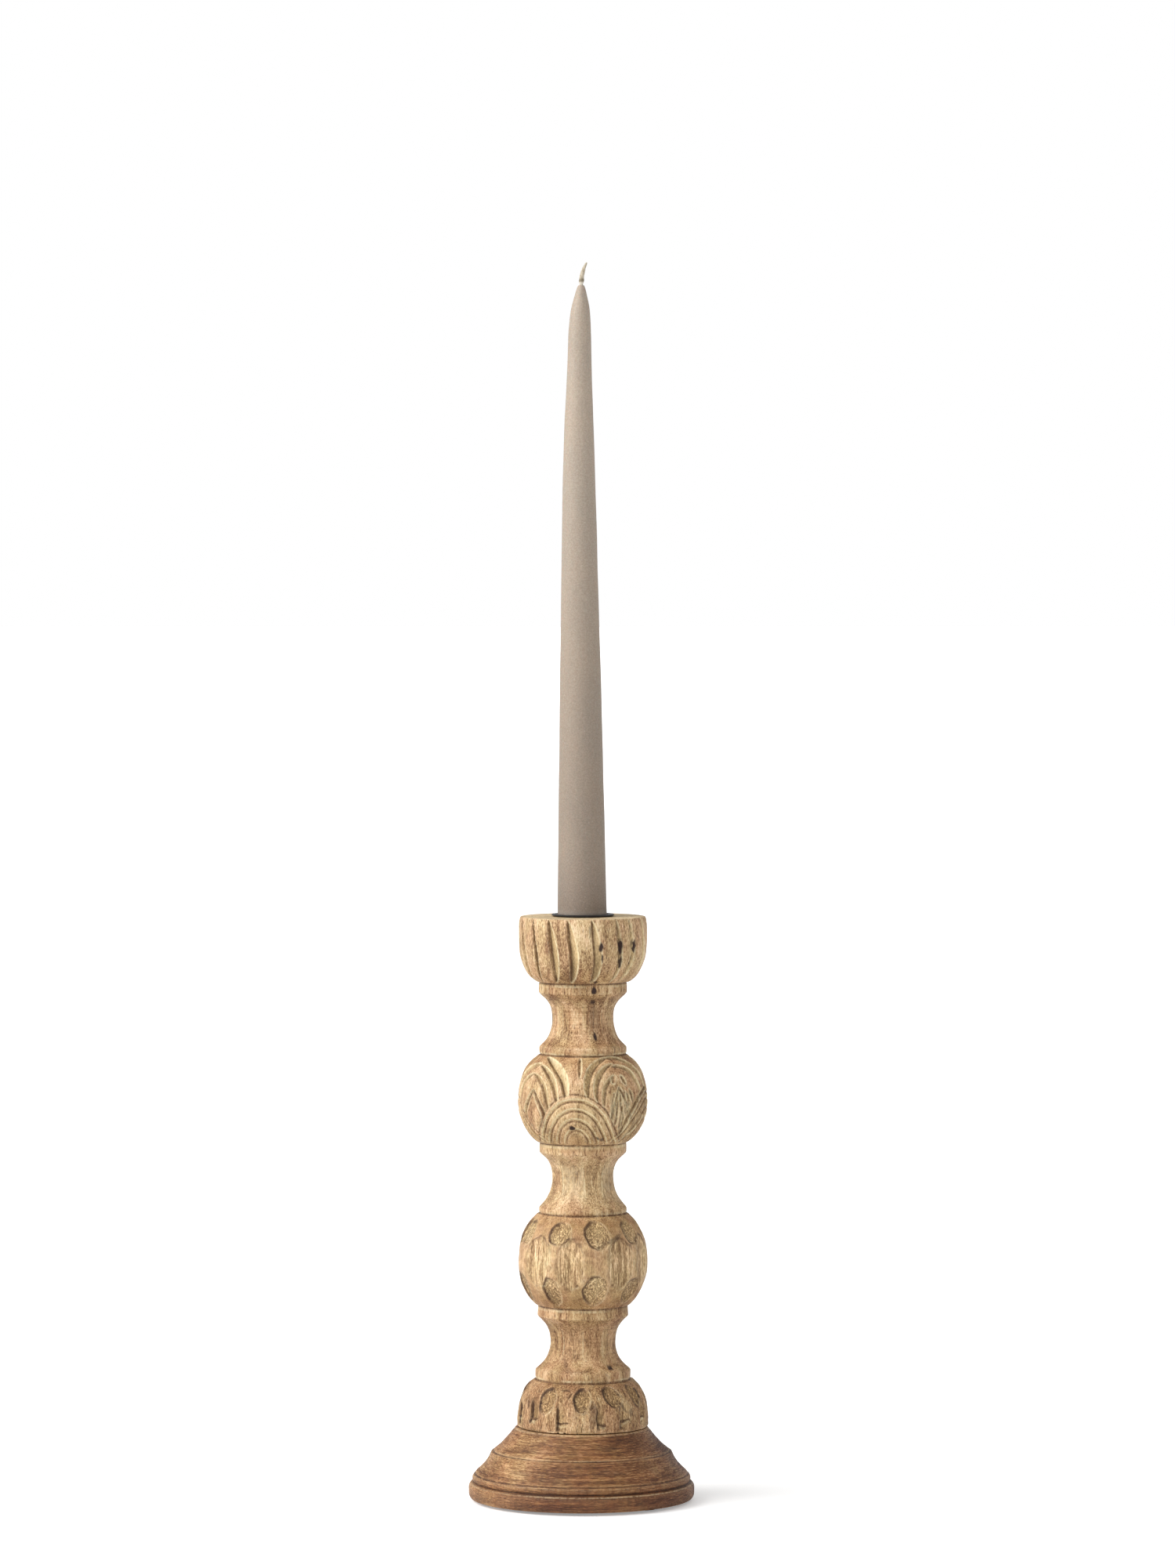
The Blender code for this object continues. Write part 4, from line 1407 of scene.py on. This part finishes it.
    def feathered_leaf(self, seed: int) -> list[Stroke]:
        """Lay out a leaf cut all over with short slanting strokes, and three strokes to its left.

        Args:
            seed: choice of the short strokes.

        Returns:
            The strokes of a leaf in front.
        """
        rng = np.random.default_rng(seed)
        strokes = [
            Stroke(((-8.0, 198.2), (-18.0, 196.4), (-25.0, 193.4), (-28.6, 189.8), (-30.0, 186.0),
                    (-30.2, 182.6)),
                   3.0, 1.3, Side.LEFT, 0.3, (0.5, 0.5), 0.5, 0.6, 0.8),
            Stroke(((-4.0, 195.8), (-11.0, 194.2), (-16.6, 191.6), (-20.6, 188.0), (-22.0, 184.6),
                    (-22.0, 181.0)),
                   2.5, 1.2, Side.LEFT, 0.3, (0.4, 0.5), 0.3, 0.6, 0.9),
            Stroke(((-4.6, 191.4), (-9.0, 189.0), (-13.4, 185.8), (-15.4, 182.0), (-16.0, 178.6)),
                   2.1, 1.0, Side.LEFT, 0.35, (0.3, 0.5), 0.4, 0.7, 0.6),
            Stroke(((-8.0, 198.4), (8.6, 197.9), (19.6, 196.0), (27.4, 193.0), (34.0, 189.2), (37.0, 185.4)),
                   2.2, 1.1, Side.RIGHT, 0.35, (0.4, 0.5), 0.2, 0.6, 0.8),
            Stroke(((-3.6, 195.0), (7.0, 194.4), (15.6, 192.2), (20.4, 188.9), (24.0, 185.6), (25.0, 181.0)),
                   2.1, 1.1, Side.RIGHT, 0.35, (0.3, 0.5), 0.2, 0.6, 0.9),
            Stroke(((-5.0, 190.6), (-6.4, 188.6)), 1.4, 0.6, Side.LEFT, 0.8, (0.8, 0.8),
                    0.2, 0.3, 1.0, lip=0.9),
            Stroke(((3.6, 190.4), (6.6, 187.4)), 1.4, 0.6, Side.RIGHT, 0.8, (0.8, 0.5),
                    0.2, 0.3, 1.0, lip=0.9),
            Stroke(((-1.6, 186.0), (-4.6, 181.6), (-8.0, 176.0), (-9.4, 170.4)),
                   1.5, 1.0, Side.RIGHT, 0.5, (0.4, 0.3), 0.5, 0.9, 0.7, lip=0.6),
            Stroke(((-1.0, 186.0), (4.0, 182.0), (9.0, 177.6), (13.0, 173.6)),
                   1.4, 0.9, Side.LEFT, 0.5, (0.4, 0.3), 0.5, 0.8, 0.7, lip=0.5),
        ]
        for row in range(3):
            for number in range(6 - row):
                top = 184.0 - 4.6 * row + rng.uniform(-1.0, 1.0)
                start = -1.4 + (number - 1.6) * 3.4 + rng.uniform(-0.8, 0.8)
                fall = 5.4 + rng.uniform(0.0, 2.4)
                spread = 0.34 * start + rng.uniform(-1.0, 1.6)
                path = ((start, top), (start + spread * 0.6, top - fall * 0.5), (start + spread, top - fall))
                strokes.append(Stroke(path, 1.2, 0.65, Side.RIGHT, 0.8, (0.4, 0.2), 0.6, 0.95, 0.7, lip=0.45))
        return strokes

    def carve_upper_ball(self, grid: Grid) -> None:
        """Cut the arches, sweeps and leaves of the upper ball.

        Args:
            grid: the spindle's grid.
        """
        room = np.ones_like(grid.depth)
        grid.mark("patina_and_shade", 0.3 * grid.outer_rows(160.0, 199.0))
        for angle in (-6.5, 82.0, 173.0, -96.0):
            room = np.minimum(room, Arch(angle, 161.2, 16.6, 20.6).cut(grid))
            path = ((angle + 2.6, 198.0), (angle + 2.6, 194.4), (angle + 3.2, 190.4))
            Stroke(path, 1.3, 0.9, Side.RIGHT, 0.5, (0.8, 0.1), 0.1, 0.5, 0.9).cut(grid)
        for middle in (-50.5, 128.0):
            for stroke in self.plain_leaf():
                stroke.turned(middle).cut(grid, room)
        lobe = Stroke(((42.0, 184.2), (25.0, 180.4), (17.0, 176.2), (9.4, 170.4), (5.6, 165.2)),
                      2.6, 1.3, Side.LEFT, 0.28, (0.7, 0.5), 0.4, 0.9, 0.0, lip=1.0)
        lower = Stroke(((33.0, 172.0), (22.0, 166.6), (13.0, 163.0)),
                       1.8, 0.8, Side.LEFT, 0.4, (0.5, 0.5), 0.3, 0.5, 0.2, lip=0.8)
        for middle in (36.0, -142.0):
            for stroke in self.feathered_leaf(int(abs(middle))):
                stroke.turned(middle).cut(grid, room)
            lobe.turned(middle).cut(grid)
            lower.turned(middle).cut(grid)

    def carve_lower_ball(self, grid: Grid) -> None:
        """Cut the two rows of ovals of the lower ball, and the tall facets between them.

        Args:
            grid: the spindle's grid.
        """
        rng = np.random.default_rng(21)
        facets = [Flat(-44.7, 108.2, 7.7, 11.0, 1.5), Flat(-11.6, 107.6, 6.4, 11.8, 1.45),
                  Flat(36.6, 107.4, 7.0, 11.8, 1.6), Flat(67.0, 108.6, 5.6, 10.6, 1.3)]
        ovals = [Scoop(-23.2, 121.0, 5.3, 6.3, 1.1, -6.0), Scoop(14.2, 120.6, 5.7, 7.0, 1.3, -14.0),
                 Scoop(55.0, 120.6, 4.6, 6.2, 1.1, -22.0), Scoop(-66.0, 120.6, 4.4, 6.0, 1.0, 8.0),
                 Scoop(-31.0, 94.8, 4.2, 7.2, 1.15, -6.0), Scoop(11.8, 95.2, 5.5, 7.6, 1.2, 10.0),
                 Scoop(53.4, 94.6, 4.6, 6.8, 1.1, 26.0), Scoop(-72.0, 95.0, 4.6, 7.0, 1.0, 0.0)]
        for angle in (106.0, 144.0, -178.0, -138.0, -98.0):
            wander = rng.uniform(-3.0, 3.0, 3)
            facets.append(Flat(angle + wander[0], 107.8, 6.6, 11.4, 1.45))
            ovals.append(Scoop(angle + 20.0 + wander[1], 120.9, 5.2, 6.5, 1.5, -3.0 * wander[0]))
            ovals.append(Scoop(angle + 19.0 + wander[2], 95.0, 5.2, 7.2, 1.5, 4.0 * wander[1]))
        ovals += [Scoop(88.0, 120.8, 5.0, 6.4, 1.5, -8.0), Scoop(90.0, 95.0, 5.0, 7.0, 1.5, 8.0)]
        for cut in facets + ovals:
            cut.cut(grid)
        away = np.abs(grid.height - 107.5)[:, None]
        ball = grid.outer_rows(86.0, 129.0)
        whole = limit((20.0 - away) / 3.0) * ball
        grid.mark("smooth", whole * (1 - grid.marks["fibres"]) * (1 - grid.marks["torn"]))
        grid.mark("patina_and_shade", bell((away - 17.0) / 6.0) * ball * (0.6 + 0.5 * mottle(grid, 8.0, 5.0, 33)))

    def carve_bell(self, grid: Grid) -> None:
        """Cut the ovals round the bell's shoulder, the short gouges below them, and the nicks.

        Args:
            grid: the spindle's grid.
        """
        rng = np.random.default_rng(4)
        front = ((-35.4, 46.3, 4.0, 6.4, 1.15, 14.0, 0.8), (-0.6, 47.2, 3.7, 5.8, 1.1, 4.0, 0.9),
                 (29.6, 48.4, 3.9, 5.8, 1.15, -26.0, 0.9), (58.6, 48.0, 3.2, 6.0, 1.1, -18.0, 0.9))
        cuts = [Scoop(*sizes, skew=0.4, rough=1.0, shade=shade) for *sizes, shade in front]
        cuts += [Channel(-53.6, 5.0, 47.5, 35.0, 37.6), Channel(-23.8, 5.6, 45.4, 32.6, 36.4),
                 Channel(12.6, 4.2, 44.6, 33.6, 36.0), Channel(35.6, 5.0, 45.8, 32.8, 37.1),
                 Channel(63.0, 4.0, 46.4, 34.0, 37.4)]
        for angle in (88.0 + number * 26.5 for number in range(8)):
            oval = (rng.uniform(3.3, 3.9), rng.uniform(5.4, 6.2), 1.1, rng.uniform(-25, 25))
            gouge = (rng.uniform(4.0, 5.4), rng.uniform(44.5, 47.0), 33.2, rng.uniform(36.2, 37.6))
            cuts += [Scoop(angle, 47.4, *oval), Channel(angle + 9.0, *gouge)]
        for cut in cuts:
            cut.cut(grid)
        for _ in range(90):
            angle, height = rng.uniform(-180.0, 180.0), rng.uniform(34.0, 52.0)
            slant = rng.uniform(-3.0, 3.0)
            nick = ((angle, height), (angle + slant, height - rng.uniform(1.5, 4.5)))
            width, depth = rng.uniform(0.5, 1.1), rng.uniform(0.25, 0.6)
            Stroke(nick, width, depth, Side.RIGHT, 0.7, (0.4, 0.4), 0.5, 0.7, 0.0, clean=0.2).cut(grid)

    def age_collars(self, grid: Grid) -> None:
        """Nick the collars, and let stain sit in the lines beside them.

        Args:
            grid: the spindle's grid.
        """
        collars = ((227.0, 231.2), (199.6, 202.9), (155.4, 159.3), (128.4, 131.0), (82.0, 86.3), (54.0, 57.8))
        for low, high in collars:
            middle, half = (low + high) / 2, (high - low) / 2
            band = np.clip(1.2 - np.abs(grid.height - middle) / (half + 0.3), 0.0, 0.4)[:, None] * 2.5
            band = band * grid.outer_rows(low - 0.5, high + 0.5)
            ticks = mottle(grid, 1.15, 6.0, int(low))
            grid.shift(0.09 * ticks * band)
            grid.mark("stain_and_shade", limit(ticks - 0.55) * 0.9 * band)
            grid.mark("worn_and_lit", limit(-ticks - 0.45) * 0.8 * band)
        for seam, towards in ((231.3, 1), (199.5, -1), (159.5, 1), (128.3, -1), (86.4, 1), (53.7, -1)):
            line, lip = grid.ring(seam, 0.36), grid.ring(seam - 0.75 * towards, 0.3)
            grid.press(0.6 * line * (1 + 0.4 * mottle(grid, 5.0, 3.0, int(seam) + 1)))
            grid.mark("stain_and_shade", line * (0.6 + 0.45 * mottle(grid, 5.0, 3.0, int(seam))))
            grid.mark("ridge", lip * (0.5 + 0.6 * mottle(grid, 7.0, 3.0, int(seam) + 2)))
            away = (grid.height[:, None] - seam) * towards + 1.4 * mottle(grid, 9.0, 6.0, int(seam) + 3)
            grid.mark("patina_and_shade", (0.4 if seam < 60 else 0.75) * limit(1.15 - np.abs(away - 2.5) / 7.5))

    def shave_necks(self, grid: Grid) -> None:
        """Leave the long shallow facets of a knife on the necks.

        Args:
            grid: the spindle's grid.
        """
        necks = ((204.0, 226.0, 10, 0.16, 0.9), (132.0, 154.5, 9, 0.75, 0.12), (60.0, 81.0, 9, 0.3, 0.45))
        for low, high, facets, depth, dull in necks:
            middle, half = (low + high) / 2, (high - low) / 2
            away = (np.abs(grid.height - middle) / half)[:, None]
            band = bell(away) * grid.outer_rows(low, high)
            whole = np.minimum(band * 1.5, 1.0)
            neck = grid.outer_rows(low - 1.0, high + 1.0)
            turn = grid.angle[None, :] + 6.0 * mottle(grid, 14.0, 24.0, facets)
            ridge = np.abs(np.sin(np.radians(turn * facets / 2)))
            grid.shift(depth * (ridge - 0.4) * band)
            strength = math.sqrt(depth)
            grid.mark("ridge", 0.6 * strength * bell(ridge / 0.16) * band)
            facet = np.floor(turn * facets / 360.0).astype(int) % facets
            shade = np.random.default_rng(facets).uniform(0.0, 1.0, facets)[facet]
            grid.mark("patina_and_shade", dull * shade * 0.5 * whole)
            grid.mark("worn_and_lit", 0.9 * max(strength - 0.5, 0.0) * whole * (shade < 0.7))
            grid.mark("bared", 0.95 * (strength - 0.35) * whole * (0.5 + 0.5 * (shade < 0.6)))
            grid.mark("fibres", strength * 0.6 * whole)
            grid.mark("turned", limit(1.25 - away) * neck)
            grid.mark("patina_and_shade", dull * np.clip(away - 0.55, 0.0, 0.5) * 1.6 * neck)

    def build(self, wood: Material) -> None:
        """Turn, carve and dress the spindle.

        Args:
            wood: its finish.
        """
        grid = self.turn()
        outer = grid.outer_rows(self.bell_base + 0.5, COLUMN_TOP - 0.5)
        for work in (self.carve_bowl, self.carve_upper_ball, self.carve_lower_ball, self.carve_bell,
                     self.shave_necks, self.age_collars):
            work(grid)
        grid.shift((0.12 * mottle(grid, 9.0, 8.0, 1) + 0.05 * mottle(grid, 3.2, 4.0, 2)) * outer)
        rim = ((grid.facing[:, 1] > 0.9) & (grid.radius > 13.0) & (grid.height > COLUMN_TOP - 1.0))[:, None]
        grid.mark("ridge", 0.55 * rim * (1 + 0.3 * mottle(grid, 4.0, 3.0, 77)))
        bell_side = grid.outer_rows(self.bell_base + 0.6, 53.0)
        grid.shift((0.2 * mottle(grid, 2.6, 3.4, 51) + 0.12 * mottle(grid, 1.2, 6.0, 52)) * bell_side)
        grid.mark("fibres", 0.3 * bell_side)
        grid.mark("torn", 0.38 * bell_side + 0.15 * grid.outer_rows(60.0, 82.0))
        grid.shift(0.16 * mottle(grid, 1.3, 1.3, 6) * grid.marks["torn"])
        grid.shift(0.14 * mottle(grid, 1.1, 9.0, 7) * grid.marks["fibres"])
        note_wear(grid)
        for flaw in self.flaws:
            Knot(*flaw).stain_and_shade(grid)
        make_piece("column_carved", grid, wood, STAND, "column")


@dataclass
class CandleCup:
    """The pressed metal cup let into the bowl, with its rolled flange and screw hole."""

    bore_radius: float = 11.3
    wall: float = 0.8
    depth: float = 21.4
    hole_radius: float = 1.9
    flange_radius: float = field(default_factory=lambda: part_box("candle_cup")[1].x / MM)
    sides: int = 128

    def build(self, metal: Material) -> None:
        """Press the cup, up its bore, over the flange and down its outside, and dress it.

        Args:
            metal: its finish.
        """
        top, floor, bore, hole = CUP_TOP, CUP_TOP - self.depth, self.bore_radius, self.hole_radius
        outside, lip, under = bore + self.wall, self.flange_radius - self.wall / 2, CUP_TOP - self.wall
        legs = (
            (1.5, (bore - 1.0, floor)),
            (0.5, (bore - 0.3, floor + 0.3), (bore, floor + 1.0)),
            (2.0, (bore, top - 0.5)),
            (0.2, (bore + 0.15, top - 0.15), (bore + 0.5, top)),
            (0.6, (lip, top)),
            (0.2, (self.flange_radius, top - self.wall / 2), (lip, under)),
            (0.6, (outside, under)),
            (2.0, (outside, floor + 0.6)),
            (0.5, (outside - 0.5, floor - 0.5), (outside - 1.4, floor - self.wall)),
            (1.5, (hole, floor - self.wall)),
            (0.4, (hole, floor)),
        )
        grid = spin((hole, floor), legs, self.sides, 0.07, closed=True)
        note_wear(grid, 0.25, 0.4)
        make_piece("candle_cup_pressed", grid, metal, STAND, "candle_cup")


@dataclass
class Screw:
    """A slotted round-head wood screw with a running thread."""

    node: str
    shank_radius: float  # also the thread's crest
    length: float  # below the head
    head_radius: float
    head_height: float
    seat: float  # height of the head's seat
    upside_down: bool = False
    sides: int = 72

    def turn(self) -> Grid:
        """Turn the screw from the middle of its head to its point, head up, its seat at zero.

        Returns:
            Its grid.
        """
        r, h, shank, end = self.head_radius, self.head_height, self.shank_radius, -self.length
        root, plain = shank * 0.72, end * 0.3
        legs = (
            (0.22, (r * 0.45, h * 0.93), (r * 0.8, h * 0.62), (r, 0.12)),
            (0.2, (r, 0.0)),
            (0.5, (shank, 0.0)),
            (0.8, (shank, plain)),
            (0.25, (root, plain - 0.6)),
            (0.2, (root * 0.92, end * 0.82)),
            (0.2, (root * 0.5, end * 0.94), (0.0, end)),
        )
        return spin((0.0, h), legs, self.sides, 0.06)

    def cut_thread(self, grid: Grid) -> None:
        """Raise the thread, and cut the slot across the head.

        Args:
            grid: the screw's grid.
        """
        pitch = self.shank_radius * 0.9
        start, end = -self.length * 0.3 - 0.6, -self.length * 0.96
        turns = (grid.height[:, None] / pitch + grid.angle[None, :] / 360.0) % 1.0
        run_in = limit(start - grid.height) * limit((grid.height - end) / 2.0)
        grid.shift(-(self.shank_radius * 0.27) * limit(1 - np.abs(turns - 0.5) / 0.3) * run_in[:, None])
        across = grid.radius[:, None] * np.abs(np.cos(np.radians(grid.angle)))[None, :]
        in_slot = (across < self.head_radius * 0.15) & (grid.height > self.head_height * 0.1)[:, None]
        drop = np.clip(grid.height - self.head_height * 0.6, 0.0, None) / np.maximum(grid.facing[:, 1], 0.35)
        grid.press(np.where(in_slot, drop[:, None], 0.0))

    def build(self, steel: Material) -> None:
        """Make the screw and dress it.

        Args:
            steel: its finish.
        """
        grid = self.turn()
        self.cut_thread(grid)
        note_wear(grid, 0.8, 0.5)
        flip = Matrix.Rotation(math.pi, 4, "X") if self.upside_down else Matrix.Identity(4)
        seat = Matrix.Translation((0.0, 0.0, (self.seat + UNDERSIDE) * MM))
        place = seat @ flip @ Matrix.Translation((0.0, 0.0, -UNDERSIDE * MM))
        make_piece(f"{self.node}_threaded", grid, steel, STAND, self.node, place=place)


@dataclass
class FeltPads:
    """The round felt pads glued under the foot."""

    count: int = 4
    sides: int = 56

    def build(self, felt: Material) -> None:
        """Stamp the pads and dress them.

        Args:
            felt: their finish.
        """
        for number in range(1, self.count + 1):
            low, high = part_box(f"felt_pad_{number}")
            radius, thick = (high.x - low.x) / 2 / MM, (high.z - low.z) / MM
            edge = radius - 0.2
            legs = ((0.8, (edge, thick)), (0.2, (radius, thick * 0.5), (edge, 0.0)), (0.8, (0.0, 0.0)))
            grid = spin((0.0, thick), legs, self.sides, 0.12)
            border = limit((grid.radius - radius + 1.2) / 1.2)[:, None]
            grid.shift(0.08 * border * (1 + mottle(grid, 6.0, 0.6, number)))
            middle, node = (low + high) / 2, f"felt_pad_{number}"
            stand = Matrix.Translation(Vector((middle.x, middle.y, low.z - UNDERSIDE * MM)))
            make_piece(f"{node}_pressed", grid, felt, STAND, node, place=stand)


@dataclass
class TaperCandle:
    """The dipped taper candle, slightly bowed, with the channel of its wick."""

    butt_radius: float = 11.0
    channel_radius: float = 1.1
    sides: int = 128
    bow: tuple[Point, ...] = (
        (-0.2, CANDLE_BASE), (-0.3, CUP_TOP), (-0.67, 312.0), (-0.95, 355.0), (-1.37, 402.0), (-1.7, 452.0),
        (-1.7, 482.0), (-1.37, 522.0), (-0.75, CANDLE_TIP),
    )  # how far the axis stands to the right, by height

    def turn(self) -> Grid:
        """Shape the candle from the wick's channel over its tip and down to its butt.

        Returns:
            Its grid.
        """
        tip, base, r, hole = CANDLE_TIP, CANDLE_BASE, self.butt_radius, self.channel_radius
        legs = (
            (1.6, (hole + 0.1, tip), (1.62, tip - 0.8), (2.1, tip - 2.2), (2.82, tip - 5.0), (3.9, tip - 9.3),
             (4.48, tip - 13.4), (4.9, tip - 19.0), (5.35, tip - 33.7), (6.47, tip - 61.6),
             (7.36, tip - 89.6),
             (8.22, tip - 131.5), (9.11, tip - 173.4), (9.88, tip - 215.3), (10.6, tip - 257.2),
             (r, tip - 279.0)),
            (1.5, (r, base + 0.9)),
            (0.4, (r - 0.3, base + 0.25), (r - 1.0, base)),
            (1.5, (hole, base)),
            (8.0, (hole, tip - 0.3)),
        )
        return spin((hole, tip - 0.3), legs, self.sides, 0.25, closed=True)

    def build(self, wax: Material) -> None:
        """Dip the candle and dress it.

        Args:
            wax: its finish.
        """
        grid = self.turn()
        outside = ((grid.radius > self.channel_radius + 0.6) & (grid.height > CUP_TOP + 2.0))[:, None]
        grid.shift(0.07 * mottle(grid, 22.0, 16.0, 12) * outside)
        grid.shift(0.02 * mottle(grid, 5.0, 5.0, 13) * outside)
        # A pale line round the candle just above the cup.
        ring = grid.ring(CUP_TOP + 0.45, 0.35) * (grid.radius > self.butt_radius - 0.5)[:, None]
        grid.mark("pale_ring", ring * (0.75 + 0.4 * mottle(grid, 5.0, 4.0, 14)))
        make_piece("candle_dipped", grid, wax, CANDLE, "candle", self.bow)


@dataclass
class Wick:
    """Braided cotton that runs through the candle and bends over at its bare end."""

    thick: float = 0.92
    lay: float = 3.4  # length of one turn of the braid
    sides: int = 40
    bend: tuple[Point, ...] = (
        (-0.68, 0.15), (-0.56, 0.3), (-0.34, 0.45), (0.02, 0.6), (0.52, 0.75), (1.18, 0.9), (1.65, 1.0),
    )  # how far it stands to the right, by share of its bare end

    def build(self, cotton: Material) -> None:
        """Braid the wick and dress it.

        Args:
            cotton: its finish.
        """
        low, top = node_heights("wick")
        r, tip = self.thick, CANDLE_TIP
        legs = (
            (0.15, (r * 0.35, top - 0.1), (r * 0.62, top - 0.7)),
            (0.16, (r, top - 3.5), (r, tip - 1.0)),
            (4.0, (r, low)),
            (0.4, (0.0, low)),
        )
        grid = spin((0.0, top), legs, self.sides, 0.05)
        turn = np.radians(grid.angle)[None, :] * 1.5 + grid.height[:, None] * math.pi / self.lay
        bare = limit(grid.height - tip + 1.0)[:, None]
        strands = 1.0 - np.abs(np.cos(turn)) ** 0.7
        grid.shift(0.13 * strands * bare)
        grid.mark("stain_and_shade", np.clip(strands * 1.4 - 0.5, 0.0, 0.6) * bare)
        swell, pinch = 0.18 * grid.ring(tip + 2.0, 0.8), 0.16 * grid.ring(tip + 0.3, 0.4)
        grid.shift((pinch - swell) * bare)
        grid.mark("soaked", grid.ring(tip + 2.1, 0.9))
        grid.mark("crumb", grid.ring(tip + 0.7, 0.55))
        straight = ((-0.2, CANDLE_BASE), (-0.75, tip - 6.0), (-0.7, tip))
        bent = tuple((aside, tip + (top - tip) * share) for aside, share in self.bend)
        make_piece("wick_braided", grid, cotton, CANDLE, "wick", straight + bent)


# ---- Studio ----


@dataclass
class Studio:
    """The pale ground, the soft lights and the camera."""

    ground_radius: float = 40.0  # metres
    ground_sides: int = 96
    sky: float = 0.50
    camera: Colour = (0.00207, -2.8, 0.4188)  # metres from the axis, on the table
    pitch_down: float = 1.9935  # degrees
    lens: float = 143.96  # mm, on the sensor's long side
    sensor: float = 36.0

    def lay_ground(self) -> None:
        """Lay a large pale disc on which the candlestick stands."""
        turns = [math.tau * k / self.ground_sides for k in range(self.ground_sides)]
        corners = [(self.ground_radius * math.cos(a), self.ground_radius * math.sin(a), 0.0) for a in turns]
        shape = bpy.data.meshes.new("studio_ground")
        shape.from_pydata(corners, [], [tuple(range(self.ground_sides))])
        ground = bpy.data.objects.new("studio_ground", shape)
        bpy.context.scene.collection.objects.link(ground)
        shape.materials.append(Paper().build())

    def add_sun(self, name: str, strength: float, softness: float, azimuth: float, elevation: float) -> None:
        """Hang a wide soft lamp.

        Args:
            name: the lamp's name.
            strength: of the lamp.
            softness: apparent width of the lamp, in degrees.
            azimuth: where it hangs, in degrees from the front, positive to the right.
            elevation: how high it hangs, in degrees.
        """
        lamp = bpy.data.lights.new(name, "SUN")
        lamp.energy = strength
        lamp.angle = math.radians(softness)
        hung = bpy.data.objects.new(name, lamp)
        bpy.context.scene.collection.objects.link(hung)
        turn, rise = math.radians(azimuth), math.radians(elevation)
        towards = Vector((math.sin(turn) * math.cos(rise), -math.cos(turn) * math.cos(rise), math.sin(rise)))
        hung.location = towards * 3.0
        hung.rotation_mode = "QUATERNION"
        hung.rotation_quaternion = towards.to_track_quat("Z", "Y")

    def light(self) -> None:
        """Set the pale surroundings and the lamps."""
        world = bpy.data.worlds.new("studio_air")
        bpy.context.scene.world = world
        world.use_nodes = True
        nodes, links = world.node_tree.nodes, world.node_tree.links
        nodes["Background"].inputs["Color"].default_value = (1.0, 1.0, 1.0, 1.0)
        path, level = nodes.new("ShaderNodeLightPath"), nodes.new("ShaderNodeMapRange")
        level.inputs["To Min"].default_value = self.sky
        level.inputs["To Max"].default_value = 1.0
        links.new(path.outputs["Is Camera Ray"], level.inputs["Value"])
        links.new(level.outputs["Result"], nodes["Background"].inputs["Strength"])
        self.add_sun("key_left", 2.9, 46.0, -70.0, 36.0)
        self.add_sun("front_fill", 0.35, 60.0, 0.0, 30.0)

    def set_camera(self) -> None:
        """Stand the camera in front, a little above the rim."""
        lens = bpy.data.cameras.new("view")
        lens.lens, lens.sensor_width = self.lens, self.sensor
        lens.clip_start, lens.clip_end = 0.05, 200.0
        camera = bpy.data.objects.new("view", lens)
        camera.location = self.camera
        camera.rotation_euler = (math.radians(90.0 - self.pitch_down), 0.0, 0.0)
        bpy.context.scene.collection.objects.link(camera)
        bpy.context.scene.camera = camera
        bpy.context.scene.view_settings.view_transform = "Standard"


@dataclass
class Candlestick:
    """The whole assembly, built from the foot up."""

    foot: Foot = field(default_factory=Foot)
    column: Column = field(default_factory=Column)
    cup: CandleCup = field(default_factory=CandleCup)
    pads: FeltPads = field(default_factory=FeltPads)
    candle: TaperCandle = field(default_factory=TaperCandle)
    wick: Wick = field(default_factory=Wick)
    foot_wood: CarvedWood = CarvedWood(
        "foot_wood_across",
        Grain.ACROSS,
        fibre_share=1.4,
        pore=(0.085, 0.031, 0.010),
        dark=(0.160, 0.066, 0.022),
        middle=(0.262, 0.124, 0.044),
        light=(0.375, 0.200, 0.079),
        pale=(0.60, 0.37, 0.18),
        stain_and_shade=(0.045, 0.018, 0.008),
        ridge=(0.74, 0.56, 0.33),
        patina_and_shade=(0.56, 0.44, 0.36),
        low_tint=(0.94, 0.86, 0.78),
        tint_from=9.5,
        tint_to=14.0,
        roughness=0.44,
    )

    def build(self) -> None:
        """Build and dress every piece."""
        self.foot.build(self.foot_wood.build())
        self.column.build(CarvedWood().build())
        self.cup.build(BlackMetal().build())
        steel = ScrewSteel().build()
        Screw("cup_screw", 1.5, 16.0, 3.0, 1.6, CUP_TOP - self.cup.depth + TOUCH_GAP).build(steel)
        Screw("foot_screw", 2.5, 36.0, 4.8, 2.6, 4.2 - 2.6, upside_down=True).build(steel)
        self.pads.build(Felt().build())
        self.candle.build(Wax().build())
        self.wick.build(Cotton().build())


def main() -> None:
    """Build the candlestick, then the studio round it."""
    logging.basicConfig(level=logging.INFO, format="%(name)s: %(message)s")
    Candlestick().build()
    studio = Studio()
    studio.lay_ground()
    studio.light()
    studio.set_camera()


if __name__ == "__main__":
    main()
